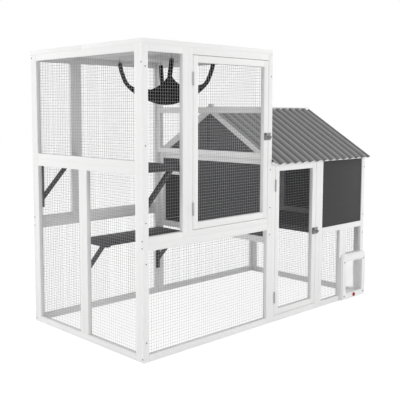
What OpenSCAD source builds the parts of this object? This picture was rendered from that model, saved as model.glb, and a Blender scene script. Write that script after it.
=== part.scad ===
// Outdoor cat enclosure: a tall wire-mesh run joined to a low run with a raised, roofed house.
// Millimetres, +Z up. X runs along the front from the tall run to the house, Y runs to the back.
// The origin is under the middle of the whole enclosure, on the ground.

/* [Overall size] */
// Height of the tall run with its deck
height = 1800; // [1600:10:2000]
// Depth from front to back
depth = 1134; // [1050:2:1240]
// Width of the tall run
run_w = 1098; // [1000:2:1200]
// Width of the front section that holds the narrow door
porch_w = 535; // [500:5:600]
// Width of the front section that holds the dark panel and the cat flap
nest_w = 582; // [560:2:680]
// Height of the house walls at the front and the back
house_h = 1080; // [1040:2:1110]

/* [Timber] */
// Thickness of every frame board
board_t = 28; // [22:1:34]
// Face width of every frame board
board_w = 40; // [34:1:46]
// Thickness of the deck over the tall run
deck_t = 28; // [16:1:36]
// Thickness of the painted infill panels
panel_t = 8; // [5:1:12]
// Setback of the painted infill panels from the outer face
panel_inset = 6; // [3:1:10]

/* [Levels] */
// Height of the joint between the lower and upper left panels
side_join_z = 1094; // [1000:2:1160]
// Height of the joint between the lower and upper front panels
front_join_z = 672; // [620:2:760]
// Width of the narrow bay to the left of the tall door
bay_w = 339; // [300:1:380]
// Height of the beam inside that upper wall, above its lower edge
side_beam_rise = 301; // [250:1:340]
// Height of the house floor rail's upper edge
floor_z = 575; // [540:1:600]
// Visible height of the top rail of the house front
eave_rail_h = 22; // [18:1:26]
// Distance from the house front's left edge to the post beside the flap
nest_post = 264; // [240:2:276]

/* [Doors] */
// Gap all round each door
door_gap = 3; // [2.5:0.5:5]
// Height of a hinge
hinge_h = 76; // [60:2:90]
// Width of one hinge leaf, let in between the door and its post
leaf_w = 25; // [20:1:27]
// Thickness of a hinge leaf
leaf_t = 1.1; // [0.8:0.1:1.1]
// Radius of the hinge barrel
barrel_r = 4.5; // [4:0.1:5.5]
// Radius of the hinge pin
pin_r = 2; // [1.6:0.1:2.4]
// Distance from the bottom of a door to its lower hinge
hinge_inset = 84; // [60:1:120]
// Distance from the top of a door to its upper hinge
top_hinge_inset = 97; // [60:1:120]
// Radius of the sliding latch bolt
bolt_r = 4; // [3:0.1:5]
// Height of the tall door's latch above the bottom of the door
tall_latch_z = 526; // [400:1:700]
// Height of the narrow door's latch above the bottom of the door
narrow_latch_z = 520; // [400:1:700]

/* [Wire mesh] */
// Spacing of the modelled wires, far coarser than the real mesh
net_pitch = 150; // [140:5:200]
// Thickness of a modelled wire
wire_t = 2; // [1.5:0.1:3]
// Depth of the mesh behind the inner face of its frame
net_inset = 3; // [2:0.5:6]

/* [House walls and roof] */
// Distance from the front wall of the house sides to their inner post
side_post_y = 728; // [650:2:780]
// Height of the cat doorway in the left wall of the house
doorway_h = 360; // [300:5:400]
// Height of the white strip over the cat doorway
lintel_h = 23; // [16:1:30]
// Rise of the house side walls over the front wall of the house
side_top_rise = 15; // [12:1:24]
// Face height of the tie under each gable
tie_h = 38; // [30:1:44]
// Face height of each gable rafter, measured upright
rafter_h = 44; // [36:1:50]
// Rise of the roof for each unit of run
roof_slope = 0.62; // [0.55:0.01:0.66]
// Overhang of the roof past the front and back walls
eave_over = 32; // [20:1:60]
// Overhang of the roof past the right wall
verge_over = 10; // [0:1:40]
// Width of one wave of the roof sheet
wave_pitch = 81; // [70:1:95]
// Depth of one wave of the roof sheet
wave_depth = 14; // [8:1:18]
// Thickness of the roof sheet
sheet_t = 1.5; // [1:0.1:2.5]
// Half of the gap between the two sheets at the ridge
ridge_half_gap = 20; // [18:1:28]
// Width of the flat board on the ridge
ridge_w = 60; // [50:1:80]
// Thickness of the flat board on the ridge
ridge_t = 9; // [6:1:14]
// Depth of the landing behind the cat doorway
landing_d = 306; // [290:2:330]
// Thickness of the house floor
floor_t = 12; // [9:1:15]

/* [Shelves] */
// Thickness of the shelf boards
shelf_t = 16; // [12:1:20]
// Height of the upper shelf's top
upper_shelf_z = 1096; // [1000:2:1150]
// Reach of the upper shelf from the left wall
upper_shelf_w = 322; // [280:2:360]
// Setback of the upper shelf from the front wall's inner face
upper_shelf_inset = 17; // [10:1:30]
// Gap between the upper shelf and the back wall
upper_shelf_gap = 11; // [6:1:40]
// Height of the lower shelf's top
lower_shelf_z = 520; // [460:2:530]
// Length of the lower shelf
lower_shelf_l = 747; // [600:2:800]
// Depth of the lower shelf
lower_shelf_d = 304; // [260:2:340]
// Width of a bracket bar
bracket_w = 30; // [24:1:34]
// Thickness of a bracket bar
bracket_t = 15; // [12:1:22]
// Thickness of a bracket brace
brace_t = 20; // [16:1:28]
// Run of a bracket brace for each unit of its drop
brace_run = 0.93; // [0.8:0.01:1]

/* [Cat flap] */
// Width of the flap's outer frame
flap_frame_w = 315; // [300:1:330]
// Height of the flap's outer frame
flap_frame_h = 340; // [330:1:350]
// Height of the flap frame's lower edge above the ground
flap_frame_z = 5; // [2:1:10]
// Depth of the outer frame in front of the wall
flap_frame_d = 28; // [20:1:34]
// Corner radius of the outer frame
flap_corner_r = 35; // [20:1:45]
// Width of the flap opening
flap_open_w = 215; // [190:1:218]
// Height of the flap opening
flap_open_h = 240; // [200:1:244]
// Height of the flap opening's sill above the ground
flap_sill_z = 50; // [48:1:52]
// Wall of the tunnel through the panel
tunnel_t = 3; // [2:0.5:4]
// Distance that the tunnel runs past the inner face
tunnel_past = 15; // [10:1:25]
// Thickness of the swinging flap
flap_t = 4; // [3:0.5:5]
// Radius of the flap's pivot pins
flap_pin_r = 2.5; // [2:0.1:3]
// Diameter of the round lock knob
knob_d = 30; // [18:1:34]
// Thickness of the round lock knob
knob_h = 6; // [4:0.5:8]

/* [Hammock] */
// Distance between the hooks along the width
hook_span_x = 378; // [340:2:420]
// Distance between the hooks along the depth
hook_span_y = 527; // [480:1:560]
// Middle of the hammock from the left wall's outer face
hammock_x = 754; // [700:2:760]
// Middle of the hammock from the front wall's outer face
hammock_y = 648; // [600:2:680]
// Length of the cloth along the width, between its corners
cloth_x = 344; // [280:2:360]
// Length of the cloth along the depth, between its corners
cloth_y = 456; // [380:2:480]
// Height of the cloth's corners below the deck
cloth_corner_drop = 165; // [140:2:190]
// Height of the cloth's lowest point below the deck
cloth_drop = 322; // [280:2:360]
// Width of a padded hammock strap
strap_w = 25; // [20:1:32]
// Thickness of a padded hammock strap
strap_t = 22; // [18:1:28]

/* [Screws] */
// Radius of a screw head
screw_head_r = 4; // [3:0.1:5]
// Height of a screw head
screw_head_h = 1; // [0.6:0.1:2]
// Radius of a screw shank
screw_r = 2; // [1.5:0.1:2.5]
// Length of a screw shank
screw_l = 45; // [36:1:60]

/* [Hidden] */

white = [0.92, 0.92, 0.91];
dark = [0.28, 0.28, 0.29];
wire_grey = [0.75, 0.76, 0.78];
roof_grey = [0.48, 0.48, 0.49];
metal = [0.55, 0.55, 0.57];
cloth_black = [0.06, 0.06, 0.07];
plastic_white = [0.94, 0.94, 0.94];

// joint_gap is the hairline between two boards, and fit is the gap round a panel or a net
joint_gap = 0.2;
fit = 0.3;
run_fit = 0.05;

total_w = run_w + porch_w + nest_w;
wall_h = height - deck_t;
side_w = depth - 2 * board_t;
mid_y = depth / 2;
end_x = total_w - board_t;
porch_x = run_w;
nest_x = run_w + porch_w;
back_y = depth - board_t;
origin_x = (total_w + verge_over - screw_head_h) / 2;

// Doors: each is set by the opening that it closes
tall_door_x = bay_w + board_w + door_gap;
tall_door_z = front_join_z + board_w + door_gap;
tall_door_w = run_w - board_w - door_gap - tall_door_x;
tall_door_h = wall_h - board_w - door_gap - tall_door_z;
narrow_door_x = porch_x + board_w + door_gap;
narrow_door_z = board_w + door_gap;
narrow_door_w = porch_w - 2 * board_w - 2 * door_gap;
narrow_door_h = house_h - eave_rail_h - door_gap - narrow_door_z;
barrel_y = -barrel_r - joint_gap;
tall_hinge_zs = [tall_door_z + hinge_inset, tall_door_z + tall_door_h - top_hinge_inset - hinge_h];
narrow_hinge_zs = [narrow_door_z + hinge_inset, narrow_door_z + narrow_door_h - top_hinge_inset - hinge_h];

// Latches: the plate lies on the door's stile, and the keeper on the frame beside it
latch_drop = 19;
latch_rise = 29;
latch_side = 1;
latch_plate_t = 1.5;
guide_t = 5;
guide_h = 16;
bolt_y = -latch_plate_t - bolt_r - 2;
guide_d = -bolt_y + bolt_r + 3;
keeper_w = 24;
keeper_offset = board_w + door_gap + latch_side;
loop_t = 12;
loop_offset = 6;
tip_gap = 8;
bolt_stem_x = 10;
bolt_stem_r = 2.2;
bolt_stem_h = 16;
bolt_ball_r = 5.5;
bolt_ball_z = 20;

// Wire nets
net_lo = board_t - net_inset - wire_t;

// Roof: lines of height against the distance from the front wall's outer face
roof_angle = atan(roof_slope);
sheet_h = wave_depth + sheet_t;
ridge_y = mid_y - ridge_half_gap;
sheet_l = (ridge_y + eave_over) / cos(roof_angle);
sheet_x = run_w + fit;
sheet_w = total_w + verge_over - sheet_x;
wave_steps = 8;
crest_back = 54;
ridge_z = under_roof(ridge_y) + sheet_h * cos(roof_angle) + fit;
side_top_z = house_h + side_top_rise;
side_low_z = side_top_z;
tie_z = side_top_z + tie_h;

// House side walls
side_rail_z = floor_z - board_w;
house_top_rail = 38;
end_top_rail = 40;

// Cat flap
flap_x = nest_x + (nest_post + nest_w) / 2;
open_x = flap_x - flap_open_w / 2;
header_z = flap_frame_z + flap_frame_h - board_w;
pivot_z = flap_sill_z + flap_open_h - 8;
pivot_y = 10;
flap_clear = 3;
knob_z = flap_frame_z + (flap_sill_z - flap_frame_z) / 2;
knob_shaft_r = 4;
knob_shaft_l = 10;
knob_grip_w = 5;
flap_screw_dx = flap_open_w / 2 + 19.5;
flap_screw_dz = 258;
flap_screw_inset = 26;

// Shelves: the lower one stops just short of the house
lower_shelf_x = run_w - 6 - lower_shelf_l;
upper_shelf_l = side_w - upper_shelf_inset - upper_shelf_gap;
upper_reach = upper_shelf_w - 22;
upper_drop = 304;
upper_brace_drop = 225;
lower_reach = lower_shelf_d - 26;
lower_drop = 304;
lower_brace_drop = 211;
left_bracket_inset = 61;
right_bracket_inset = 8;

// Hammock
hook_r = 9;
hook_wire_r = 2.5;
hook_z = wall_h - 20;
strap_start = 2;
cloth_t = 5;
cloth_waist = 0.94;
cloth_tilt = 32;
side_rim = 0.58;
end_rim = 0.68;
cloth_n = 12;

function under_roof(y) = house_h + fit + roof_slope * min(y, depth - y);

// Shared shapes

module board(size, at = [0, 0, 0]) {
    translate(at) cube(size);
}

// Places what is drawn with its corner at the near left corner of the enclosure
module placed() {
    translate([-origin_x, -mid_y, 0]) children();
}

// Turns a panel drawn along X into a side wall whose outer or inner face is at x
module side_wall(x) {
    translate([x + board_t, board_t, 0]) rotate([0, 0, 90]) children();
}

// A rectangular frame of four boards, its stiles as tall as the panel
module frame(w, h, bottom = board_w, top = board_w) {
    rail_w = w - 2 * board_w - 2 * joint_gap;
    board([board_w, board_t, h]);
    board([board_w, board_t, h], [w - board_w, 0, 0]);
    board([rail_w, board_t, bottom], [board_w + joint_gap, 0, 0]);
    board([rail_w, board_t, top], [board_w + joint_gap, 0, h - top]);
}

// A flat net that fills an opening of width w and height h
module net(w, h) {
    net_w = w - 2 * fit;
    net_h = h - 2 * fit;
    cols = max(1, round(net_w / net_pitch));
    rows = max(1, round(net_h / net_pitch));
    cell_w = (net_w - wire_t) / cols;
    cell_h = (net_h - wire_t) / rows;
    color(wire_grey) translate([fit, 0, fit]) difference() {
        cube([net_w, wire_t, net_h]);
        for (i = [0:cols - 1], j = [0:rows - 1])
            translate([i * cell_w + wire_t, -wire_t, j * cell_h + wire_t])
                cube([cell_w - wire_t, 3 * wire_t, cell_h - wire_t]);
    }
}

// A net in a front or back panel, with the inner face of the panel towards +Y
module net_at(x, z, w, h) {
    translate([x, net_lo, z]) net(w, h);
}

// A net in a side panel, in the panel's own frame, at depth y from its right-hand face
module side_net_at(x, z, w, h, y) {
    translate([x, y, z]) net(w, h);
}

// Left wall

module left_lower_frame() {
    color(white) placed() side_wall(0) {
        frame(side_w, side_join_z);
        for (x = [side_w / 2 - board_w, side_w / 2 + joint_gap])
            board([board_w - joint_gap, board_t, side_join_z - 2 * board_w - 2 * joint_gap],
                  [x, 0, board_w + joint_gap]);
    }
}

module left_upper_frame() {
    color(white) placed() side_wall(0) translate([0, 0, side_join_z])
        frame(side_w, wall_h - side_join_z);
}

module left_mesh() {
    half = side_w / 2 - 2 * board_w;
    placed() side_wall(0) {
        for (x = [board_w, side_w / 2 + board_w])
            side_net_at(x, board_w, half, side_join_z - 2 * board_w, net_inset);
        side_net_at(board_w, side_join_z + board_w, side_w - 2 * board_w,
                    wall_h - side_join_z - 2 * board_w, net_inset);
    }
}

// Front wall of the tall run

module front_lower_frame() {
    color(white) placed() frame(run_w, front_join_z);
}

module front_bay_frame() {
    color(white) placed() translate([0, 0, front_join_z]) frame(bay_w, wall_h - front_join_z);
}

module tall_door_surround() {
    color(white) placed() translate([bay_w, 0, front_join_z])
        frame(run_w - bay_w, wall_h - front_join_z);
}

module front_mesh() {
    placed() {
        net_at(board_w, board_w, run_w - 2 * board_w, front_join_z - 2 * board_w);
        net_at(board_w, front_join_z + board_w, bay_w - 2 * board_w,
               wall_h - front_join_z - 2 * board_w);
    }
}

module tall_door_frame() {
    color(white) placed() translate([tall_door_x, 0, tall_door_z]) frame(tall_door_w, tall_door_h);
}

module tall_door_mesh() {
    placed() net_at(tall_door_x + board_w, tall_door_z + board_w, tall_door_w - 2 * board_w,
                    tall_door_h - 2 * board_w);
}

// Back wall of the tall run

module back_lower_frame() {
    color(white) placed() translate([0, back_y, 0]) frame(run_w, front_join_z);
}

module back_bay_frame() {
    color(white) placed() translate([0, back_y, front_join_z]) frame(bay_w, wall_h - front_join_z);
}

module back_wide_frame() {
    color(white) placed() translate([bay_w, back_y, front_join_z])
        frame(run_w - bay_w, wall_h - front_join_z);
}

module back_mesh() {
    upper_h = wall_h - front_join_z - 2 * board_w;
    upper_z = front_join_z + board_w;
    placed() translate([0, depth, 0]) mirror([0, 1, 0]) {
        net_at(board_w, board_w, run_w - 2 * board_w, front_join_z - 2 * board_w);
        net_at(board_w, upper_z, bay_w - 2 * board_w, upper_h);
        net_at(bay_w + board_w, upper_z, run_w - bay_w - 2 * board_w, upper_h);
    }
}

// Upper wall between the tall run and the roof, and the deck

module side_upper_frame() {
    color(white) placed() side_wall(run_w - board_t) translate([0, 0, side_low_z]) {
        frame(side_w, wall_h - side_low_z);
        board([side_w - 2 * board_w - 2 * joint_gap, board_t, board_w],
              [board_w + joint_gap, 0, side_beam_rise]);
    }
}

module side_upper_mesh() {
    beam_top = side_low_z + side_beam_rise + board_w;
    placed() side_wall(run_w - board_t) {
        side_net_at(board_w, side_low_z + board_w, side_w - 2 * board_w,
                    side_beam_rise - board_w, net_lo);
        side_net_at(board_w, beam_top, side_w - 2 * board_w, wall_h - board_w - beam_top, net_lo);
    }
}

module top_deck_boards() {
    color(white) placed() for (y = [0, mid_y + joint_gap])
        board([run_w, mid_y - joint_gap, deck_t], [0, y, wall_h]);
}

// Front wall of the low run and the house

module porch_frame() {
    color(white) placed() translate([porch_x, 0, 0]) frame(porch_w, house_h, top = eave_rail_h);
}

module narrow_door_frame() {
    color(white) placed() translate([narrow_door_x, 0, narrow_door_z])
        frame(narrow_door_w, narrow_door_h);
}

module narrow_door_mesh() {
    placed() net_at(narrow_door_x + board_w, narrow_door_z + board_w, narrow_door_w - 2 * board_w,
                    narrow_door_h - 2 * board_w);
}

// The inner post of this section is double above the flap and single beside it
module nest_front_frame() {
    rail_w = nest_w - 2 * board_w - 2 * joint_gap;
    post_h = floor_z - 2 * board_w - 2 * joint_gap;
    header_top = header_z + board_w;
    color(white) placed() translate([nest_x, 0, 0]) {
        frame(nest_w, house_h, top = eave_rail_h);
        board([rail_w, board_t, board_w], [board_w + joint_gap, 0, side_rail_z]);
        board([board_w - joint_gap, board_t, post_h], [nest_post, 0, board_w + joint_gap]);
        board([board_w, board_t, side_rail_z - header_top - 2 * joint_gap],
              [nest_post + board_w, 0, header_top + joint_gap]);
        board([nest_w - nest_post - 2 * board_w - joint_gap, board_t, board_w],
              [nest_post + board_w, 0, header_z]);
    }
}

module nest_front_mesh() {
    header_top = header_z + board_w;
    right_x = nest_post + 2 * board_w;
    placed() translate([nest_x, 0, 0]) {
        net_at(board_w, board_w, nest_post - board_w, side_rail_z - board_w);
        net_at(right_x, header_top, nest_w - board_w - right_x, side_rail_z - header_top);
    }
}

module nest_front_panel() {
    color(dark) placed()
        board([nest_w - 2 * board_w - 2 * fit, panel_t, house_h - eave_rail_h - floor_z - 2 * fit],
              [nest_x + board_w + fit, panel_inset, floor_z + fit]);
}

// Back wall of the low run and the house

module house_back_frame() {
    w = porch_w + nest_w;
    color(white) placed() translate([porch_x, back_y, 0]) {
        frame(w, house_h, top = eave_rail_h);
        board([w - 2 * board_w - 2 * joint_gap, board_t, board_w],
              [board_w + joint_gap, 0, side_rail_z]);
    }
}

module house_back_mesh() {
    placed() translate([porch_x, depth, 0]) mirror([0, 1, 0])
        net_at(board_w, board_w, porch_w + nest_w - 2 * board_w, side_rail_z - board_w);
}

module house_back_panel() {
    color(dark) placed()
        board([porch_w + nest_w - 2 * board_w - 2 * fit, panel_t,
               house_h - eave_rail_h - floor_z - 2 * fit],
              [porch_x + board_w + fit, depth - panel_inset - panel_t, floor_z + fit]);
}

// Right-hand end wall

module end_lower_frame() {
    color(white) placed() side_wall(end_x) frame(side_w, floor_z);
}

module end_lower_mesh() {
    placed() side_wall(end_x)
        side_net_at(board_w, board_w, side_w - 2 * board_w, floor_z - 2 * board_w, net_lo);
}

module end_upper_frame() {
    h = side_top_z - floor_z;
    color(white) placed() side_wall(end_x) translate([0, 0, floor_z]) {
        frame(side_w, h, top = end_top_rail);
        board([board_w, board_t, h - board_w - end_top_rail - 2 * joint_gap],
              [side_post_y, 0, board_w + joint_gap]);
    }
}

module end_wall_panels() {
    lo = floor_z + board_w + fit;
    h = side_top_z - end_top_rail - fit - lo;
    color(dark) placed() side_wall(end_x) translate([0, panel_inset, 0]) {
        board([side_post_y - board_w - 2 * fit, panel_t, h], [board_w + fit, 0, lo]);
        board([side_w - 2 * board_w - side_post_y - 2 * fit, panel_t, h],
              [side_post_y + board_w + fit, 0, lo]);
    }
}

// Left wall of the house, with the cat doorway at its back

module house_side_frame() {
    h = side_top_z - side_rail_z;
    color(white) placed() side_wall(run_w) translate([0, 0, side_rail_z]) {
        frame(side_w, h, top = house_top_rail);
        board([board_w, board_t, h - board_w - house_top_rail - 2 * joint_gap],
              [side_post_y, 0, board_w + joint_gap]);
        board([side_w - 2 * board_w - side_post_y - 2 * joint_gap, board_t, lintel_h],
              [side_post_y + board_w + joint_gap, 0, board_w + doorway_h]);
    }
}

module house_side_panels() {
    top_z = side_top_z - house_top_rail - fit;
    over_z = floor_z + doorway_h + lintel_h + fit;
    inset = board_t - panel_inset - panel_t;
    color(dark) placed() side_wall(run_w) translate([0, inset, 0]) {
        board([side_post_y - board_w - 2 * fit, panel_t, top_z - floor_z - fit],
              [board_w + fit, 0, floor_z + fit]);
        board([side_w - 2 * board_w - side_post_y - 2 * fit, panel_t, top_z - over_z],
              [side_post_y + board_w + fit, 0, over_z]);
    }
}

// Gables: a tie and two rafters with a dark triangle between them, seen along X

// Distance from the front at which the line under the roof, less drop, is at height z
function roof_y(z, drop) = (z + drop - house_h) / roof_slope;

// How far the sheet's lower face is above its line over the gable beside the tall run
near_gable_lift = min([for (x = [0:4:board_t]) wave(x)]) / cos(roof_angle) - 2 * fit;

module gable_frame(lift = 0) {
    lo = roof_y(side_top_z, fit);
    hi = roof_y(tie_z, fit + lift);
    inner = roof_y(tie_z, rafter_h + fit - lift);
    apex = under_roof(mid_y) - 2 * fit + lift;
    top = min(apex, ridge_z - fit);
    cut = (apex - top) / roof_slope;
    first = max(lo, board_t);
    upright(board_t) polygon([[first, side_top_z], [depth - first, side_top_z],
                              [depth - hi, tie_z - joint_gap], [hi, tie_z - joint_gap]]);
    for (side = [0, 1]) translate([0, side * depth, 0]) mirror([0, side, 0])
        upright(board_t) polygon(concat(
            [[hi, tie_z], [inner, tie_z], [mid_y - joint_gap, apex - rafter_h], [mid_y - joint_gap, top]],
            cut > 0 ? [[mid_y - joint_gap - cut, top]] : []));
}

// Stands a profile of depth and height up and gives it a thickness along X
module upright(t) {
    rotate([90, 0, 90]) linear_extrude(t) children();
}

module gable_frames() {
    color(white) placed() {
        translate([run_w, 0, 0]) gable_frame(near_gable_lift);
        translate([end_x, 0, 0]) gable_frame();
    }
}

module gable_panel(lift = 0) {
    inner = roof_y(tie_z, rafter_h + fit - lift) + 3 * fit;
    apex = under_roof(mid_y) - 4 * fit - rafter_h + lift;
    upright(panel_t) polygon([[inner, tie_z + fit], [depth - inner, tie_z + fit], [mid_y, apex]]);
}

module gable_panels() {
    color(dark) placed() {
        translate([run_w + panel_inset, 0, 0]) gable_panel(near_gable_lift);
        translate([total_w - panel_inset - panel_t, 0, 0]) gable_panel();
    }
}

// House floor

module floor_bearers() {
    z = floor_z - floor_t - board_t;
    color(dark) placed() {
        board([end_x - nest_x - 2 * fit, board_w, board_t], [nest_x + fit, board_t, z]);
        board([end_x - run_w - board_t - 2 * fit, board_w, board_t],
              [run_w + board_t + fit, back_y - board_w, z]);
        board([board_w, side_w - 2 * board_w - 2 * joint_gap, board_t],
              [nest_x + fit, board_t + board_w + joint_gap, z]);
        board([porch_w - board_t - 2 * fit, board_w, board_t],
              [run_w + board_t + fit, back_y - landing_d, z]);
    }
}

module house_floor() {
    z = floor_z - floor_t;
    color(dark) placed() {
        board([end_x - nest_x - 2 * fit, side_w - 2 * fit, floor_t], [nest_x + fit, board_t + fit, z]);
        board([porch_w - board_t - 2 * fit, landing_d - fit, floor_t],
              [run_w + board_t + fit, back_y - landing_d, z]);
    }
}

// Roof

// The wave and its offset are drawn downwards, because the sheet is laid on its face
function wave(x) = wave_depth / 2 * (1 + cos(360 * (x - (sheet_w - verge_over - crest_back)) / wave_pitch));

module roof_sheet() {
    steps = ceil(sheet_w / wave_pitch * wave_steps);
    xs = [for (i = [0:steps]) i * sheet_w / steps];
    upper = [for (x = xs) [x, -sheet_t - wave(x)]];
    lower = [for (i = [steps:-1:0]) [xs[i], -wave(xs[i])]];
    translate([sheet_x, -eave_over, under_roof(0) - eave_over * roof_slope])
        rotate([roof_angle - 90, 0, 0]) linear_extrude(sheet_l) polygon(concat(upper, lower));
}

module roof_front_sheet() {
    color(roof_grey) placed() roof_sheet();
}

module roof_back_sheet() {
    color(roof_grey) placed() translate([0, depth, 0]) mirror([0, 1, 0]) roof_sheet();
}

module ridge_beam() {
    color(white) placed()
        board([end_x - run_w - board_t - 2 * fit, board_t, board_w],
              [run_w + board_t + fit, mid_y - board_t / 2, ridge_z - board_w]);
}

// The board on the ridge, and the block on its end beside the tall run
module ridge_board() {
    block_w = 34;
    block_h = 18;
    color(white) placed() {
        board([sheet_w, ridge_w, ridge_t], [sheet_x, mid_y - ridge_w / 2, ridge_z]);
        board([board_t, block_w, block_h], [sheet_x, mid_y - block_w / 2, ridge_z + ridge_t + joint_gap]);
    }
}

// The strip under each eave, whose upper edge is cut to the wave of the sheet
module eave_filler() {
    front_y = eave_over - 6;
    base = under_roof(-front_y) - fit;
    steps = ceil(sheet_w / wave_pitch * wave_steps);
    xs = [for (i = [0:steps]) i * sheet_w / steps];
    top = [for (x = xs) [x, base + wave(x) / cos(roof_angle)]];
    low = house_h - eave_rail_h + joint_gap;
    translate([sheet_x, -joint_gap, 0]) rotate([90, 0, 0]) linear_extrude(front_y - joint_gap)
        polygon(concat([[0, low]], top, [[sheet_w, low]]));
}

module eave_fillers() {
    color(white) placed() {
        eave_filler();
        translate([0, depth, 0]) mirror([0, 1, 0]) eave_filler();
    }
}

// Cat flap

module rounded_top(w, h, r) {
    square([w, h - r]);
    translate([r, 0]) square([w - 2 * r, h]);
    for (x = [r, w - r]) translate([x, h - r]) circle(r, $fn = 48);
}

// Stands a profile of width and height up and gives it a thickness along Y, from y
module facing(y, t) {
    translate([0, y + t, 0]) rotate([90, 0, 0]) linear_extrude(t) children();
}

module flap_outer_frame() {
    rim = 8;
    color(plastic_white) placed() difference() {
        union() {
            translate([flap_x - flap_frame_w / 2, 0, flap_frame_z])
                facing(-flap_frame_d + rim, flap_frame_d - rim)
                    rounded_top(flap_frame_w, flap_frame_h, flap_corner_r);
            translate([flap_x - flap_frame_w / 2 + rim, 0, flap_frame_z + rim])
                facing(-flap_frame_d, rim)
                    rounded_top(flap_frame_w - 2 * rim, flap_frame_h - 2 * rim, flap_corner_r - rim);
        }
        translate([open_x, -2 * flap_frame_d, flap_sill_z])
            cube([flap_open_w, 3 * flap_frame_d, flap_open_h]);
        translate([flap_x, -flap_frame_d - 1, knob_z]) rotate([-90, 0, 0])
            cylinder(r = knob_shaft_r + run_fit, h = knob_shaft_l + 1.5, $fn = 32);
        for (p = flap_screw_points) translate([p[0], -2 * flap_frame_d, p[1]]) rotate([-90, 0, 0])
            cylinder(r = screw_r + fit, h = 3 * flap_frame_d, $fn = 24);
    }
}

flap_screw_points = [for (sx = [-1, 1], dz = [0, flap_screw_dz])
    [flap_x + sx * flap_screw_dx, flap_frame_z + flap_screw_inset + dz]];

module flap_inner_frame() {
    flange = 9;
    flange_t = 3;
    outer_w = flap_open_w + 2 * tunnel_t;
    outer_h = flap_open_h + 2 * tunnel_t;
    color(plastic_white) placed() difference() {
        union() {
            translate([open_x - tunnel_t, fit, flap_sill_z - tunnel_t])
                cube([outer_w, board_t + tunnel_past - fit, outer_h]);
            translate([open_x - tunnel_t - flange, board_t + fit, flap_sill_z - tunnel_t - flange / 2])
                cube([outer_w + 2 * flange, flange_t, outer_h + 1.5 * flange]);
        }
        translate([open_x, -board_t, flap_sill_z])
            cube([flap_open_w, 4 * board_t, flap_open_h]);
        translate([open_x - 2 * tunnel_t, pivot_y, pivot_z]) rotate([0, 90, 0])
            cylinder(r = flap_pin_r + run_fit, h = flap_open_w + 4 * tunnel_t, $fn = 32);
    }
}

module cat_flap() {
    w = flap_open_w - 2 * flap_clear;
    drop = pivot_z - flap_sill_z - flap_clear;
    color([0.85, 0.88, 0.9, 0.5]) placed() {
        translate([flap_x - w / 2, pivot_y - flap_t / 2, flap_sill_z + flap_clear])
            cube([w, flap_t, drop]);
        translate([open_x - tunnel_t + run_fit, pivot_y, pivot_z]) rotate([0, 90, 0])
            cylinder(r = flap_pin_r, h = flap_open_w + 2 * tunnel_t - 2 * run_fit, $fn = 32);
    }
}

// A round knob with a raised grip bar across it, on a short shaft
module lock_knob() {
    grip_l = 0.8 * knob_d;
    color([0.6, 0.1, 0.08]) placed() translate([flap_x, -flap_frame_d, knob_z]) rotate([90, 0, 0]) {
        translate([0, 0, run_fit]) cylinder(r = knob_d / 2, h = knob_h / 2, $fn = 48);
        translate([-grip_l / 2, -knob_grip_w / 2, knob_h / 4]) cube([grip_l, knob_grip_w, knob_h * 3 / 4]);
        translate([0, 0, -knob_shaft_l]) cylinder(r = knob_shaft_r, h = knob_shaft_l + 1, $fn = 32);
    }
}

// Shelves and their brackets

module upper_shelf() {
    color(dark) placed()
        board([upper_shelf_w, upper_shelf_l, shelf_t],
              [board_t + fit, board_t + upper_shelf_inset, upper_shelf_z - shelf_t]);
}

module lower_shelf() {
    color(dark) placed()
        board([lower_shelf_l, lower_shelf_d, shelf_t],
              [lower_shelf_x, back_y - fit - lower_shelf_d, lower_shelf_z - shelf_t]);
}

// A bracket against the plane x = 0 that carries a shelf whose underside is at z = 0
module bracket(reach, drop, brace_drop) {
    rise = brace_t * sqrt(1 + 1 / pow(brace_run, 2));
    low = bracket_t + joint_gap;
    far = low + (brace_drop - bracket_t) * brace_run;
    upright_y(bracket_w) {
        polygon([[0, -drop], [bracket_t, -drop], [bracket_t, -joint_gap], [0, -joint_gap]]);
        polygon([[low, -bracket_t], [reach, -bracket_t], [reach, -joint_gap], [low, -joint_gap]]);
        polygon([[low, -brace_drop - rise], [far + rise * brace_run, -bracket_t - joint_gap],
                 [far, -bracket_t - joint_gap], [low, -brace_drop]]);
    }
}

// Stands profiles of X and Z up, each as its own solid, with a width t along Y
module upright_y(t) {
    for (i = [0:$children - 1])
        translate([0, t, 0]) rotate([90, 0, 0]) linear_extrude(t) children(i);
}

module shelf_brackets() {
    upper_ys = [board_t + upper_shelf_inset, board_t + upper_shelf_inset + upper_shelf_l - bracket_w];
    lower_xs = [lower_shelf_x + left_bracket_inset,
                lower_shelf_x + lower_shelf_l - right_bracket_inset];
    color(dark) placed() {
        for (y = upper_ys) translate([board_t, y, upper_shelf_z - shelf_t])
            bracket(upper_reach, upper_drop, upper_brace_drop);
        for (x = lower_xs) translate([x - bracket_w, back_y, lower_shelf_z - shelf_t])
            rotate([0, 0, -90]) bracket(lower_reach, lower_drop, lower_brace_drop);
    }
}

// Hammock

// u and v run from -1 to 1 across the cloth, whose rims sag between its corners, and whose
// near left corner hangs higher than the one across from it
function bowl(s) = 0.55 * pow(s, 2) + 0.45 * pow(s, 4);
function rim_z(u, v) = 1 - (1 - side_rim) * (1 - bowl(v)) - (1 - end_rim) * (1 - bowl(u));
function sag_z(u, v) = (side_rim + end_rim - 1) * pow((1 - u * u) * (1 - v * v), 0.9);
function cloth_z(u, v) = wall_h - cloth_drop
    + (cloth_drop - cloth_corner_drop) * (rim_z(u, v) - sag_z(u, v))
    - cloth_tilt * (u + v) / 2 * abs(u * v);
function waist(s) = cloth_waist + (1 - cloth_waist) * s * s;
function cloth_point(u, v, lift) = [hammock_x + cloth_x / 2 * u * waist(v),
    hammock_y + cloth_y / 2 * v * waist(u), cloth_z(u, v) + lift];

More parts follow.
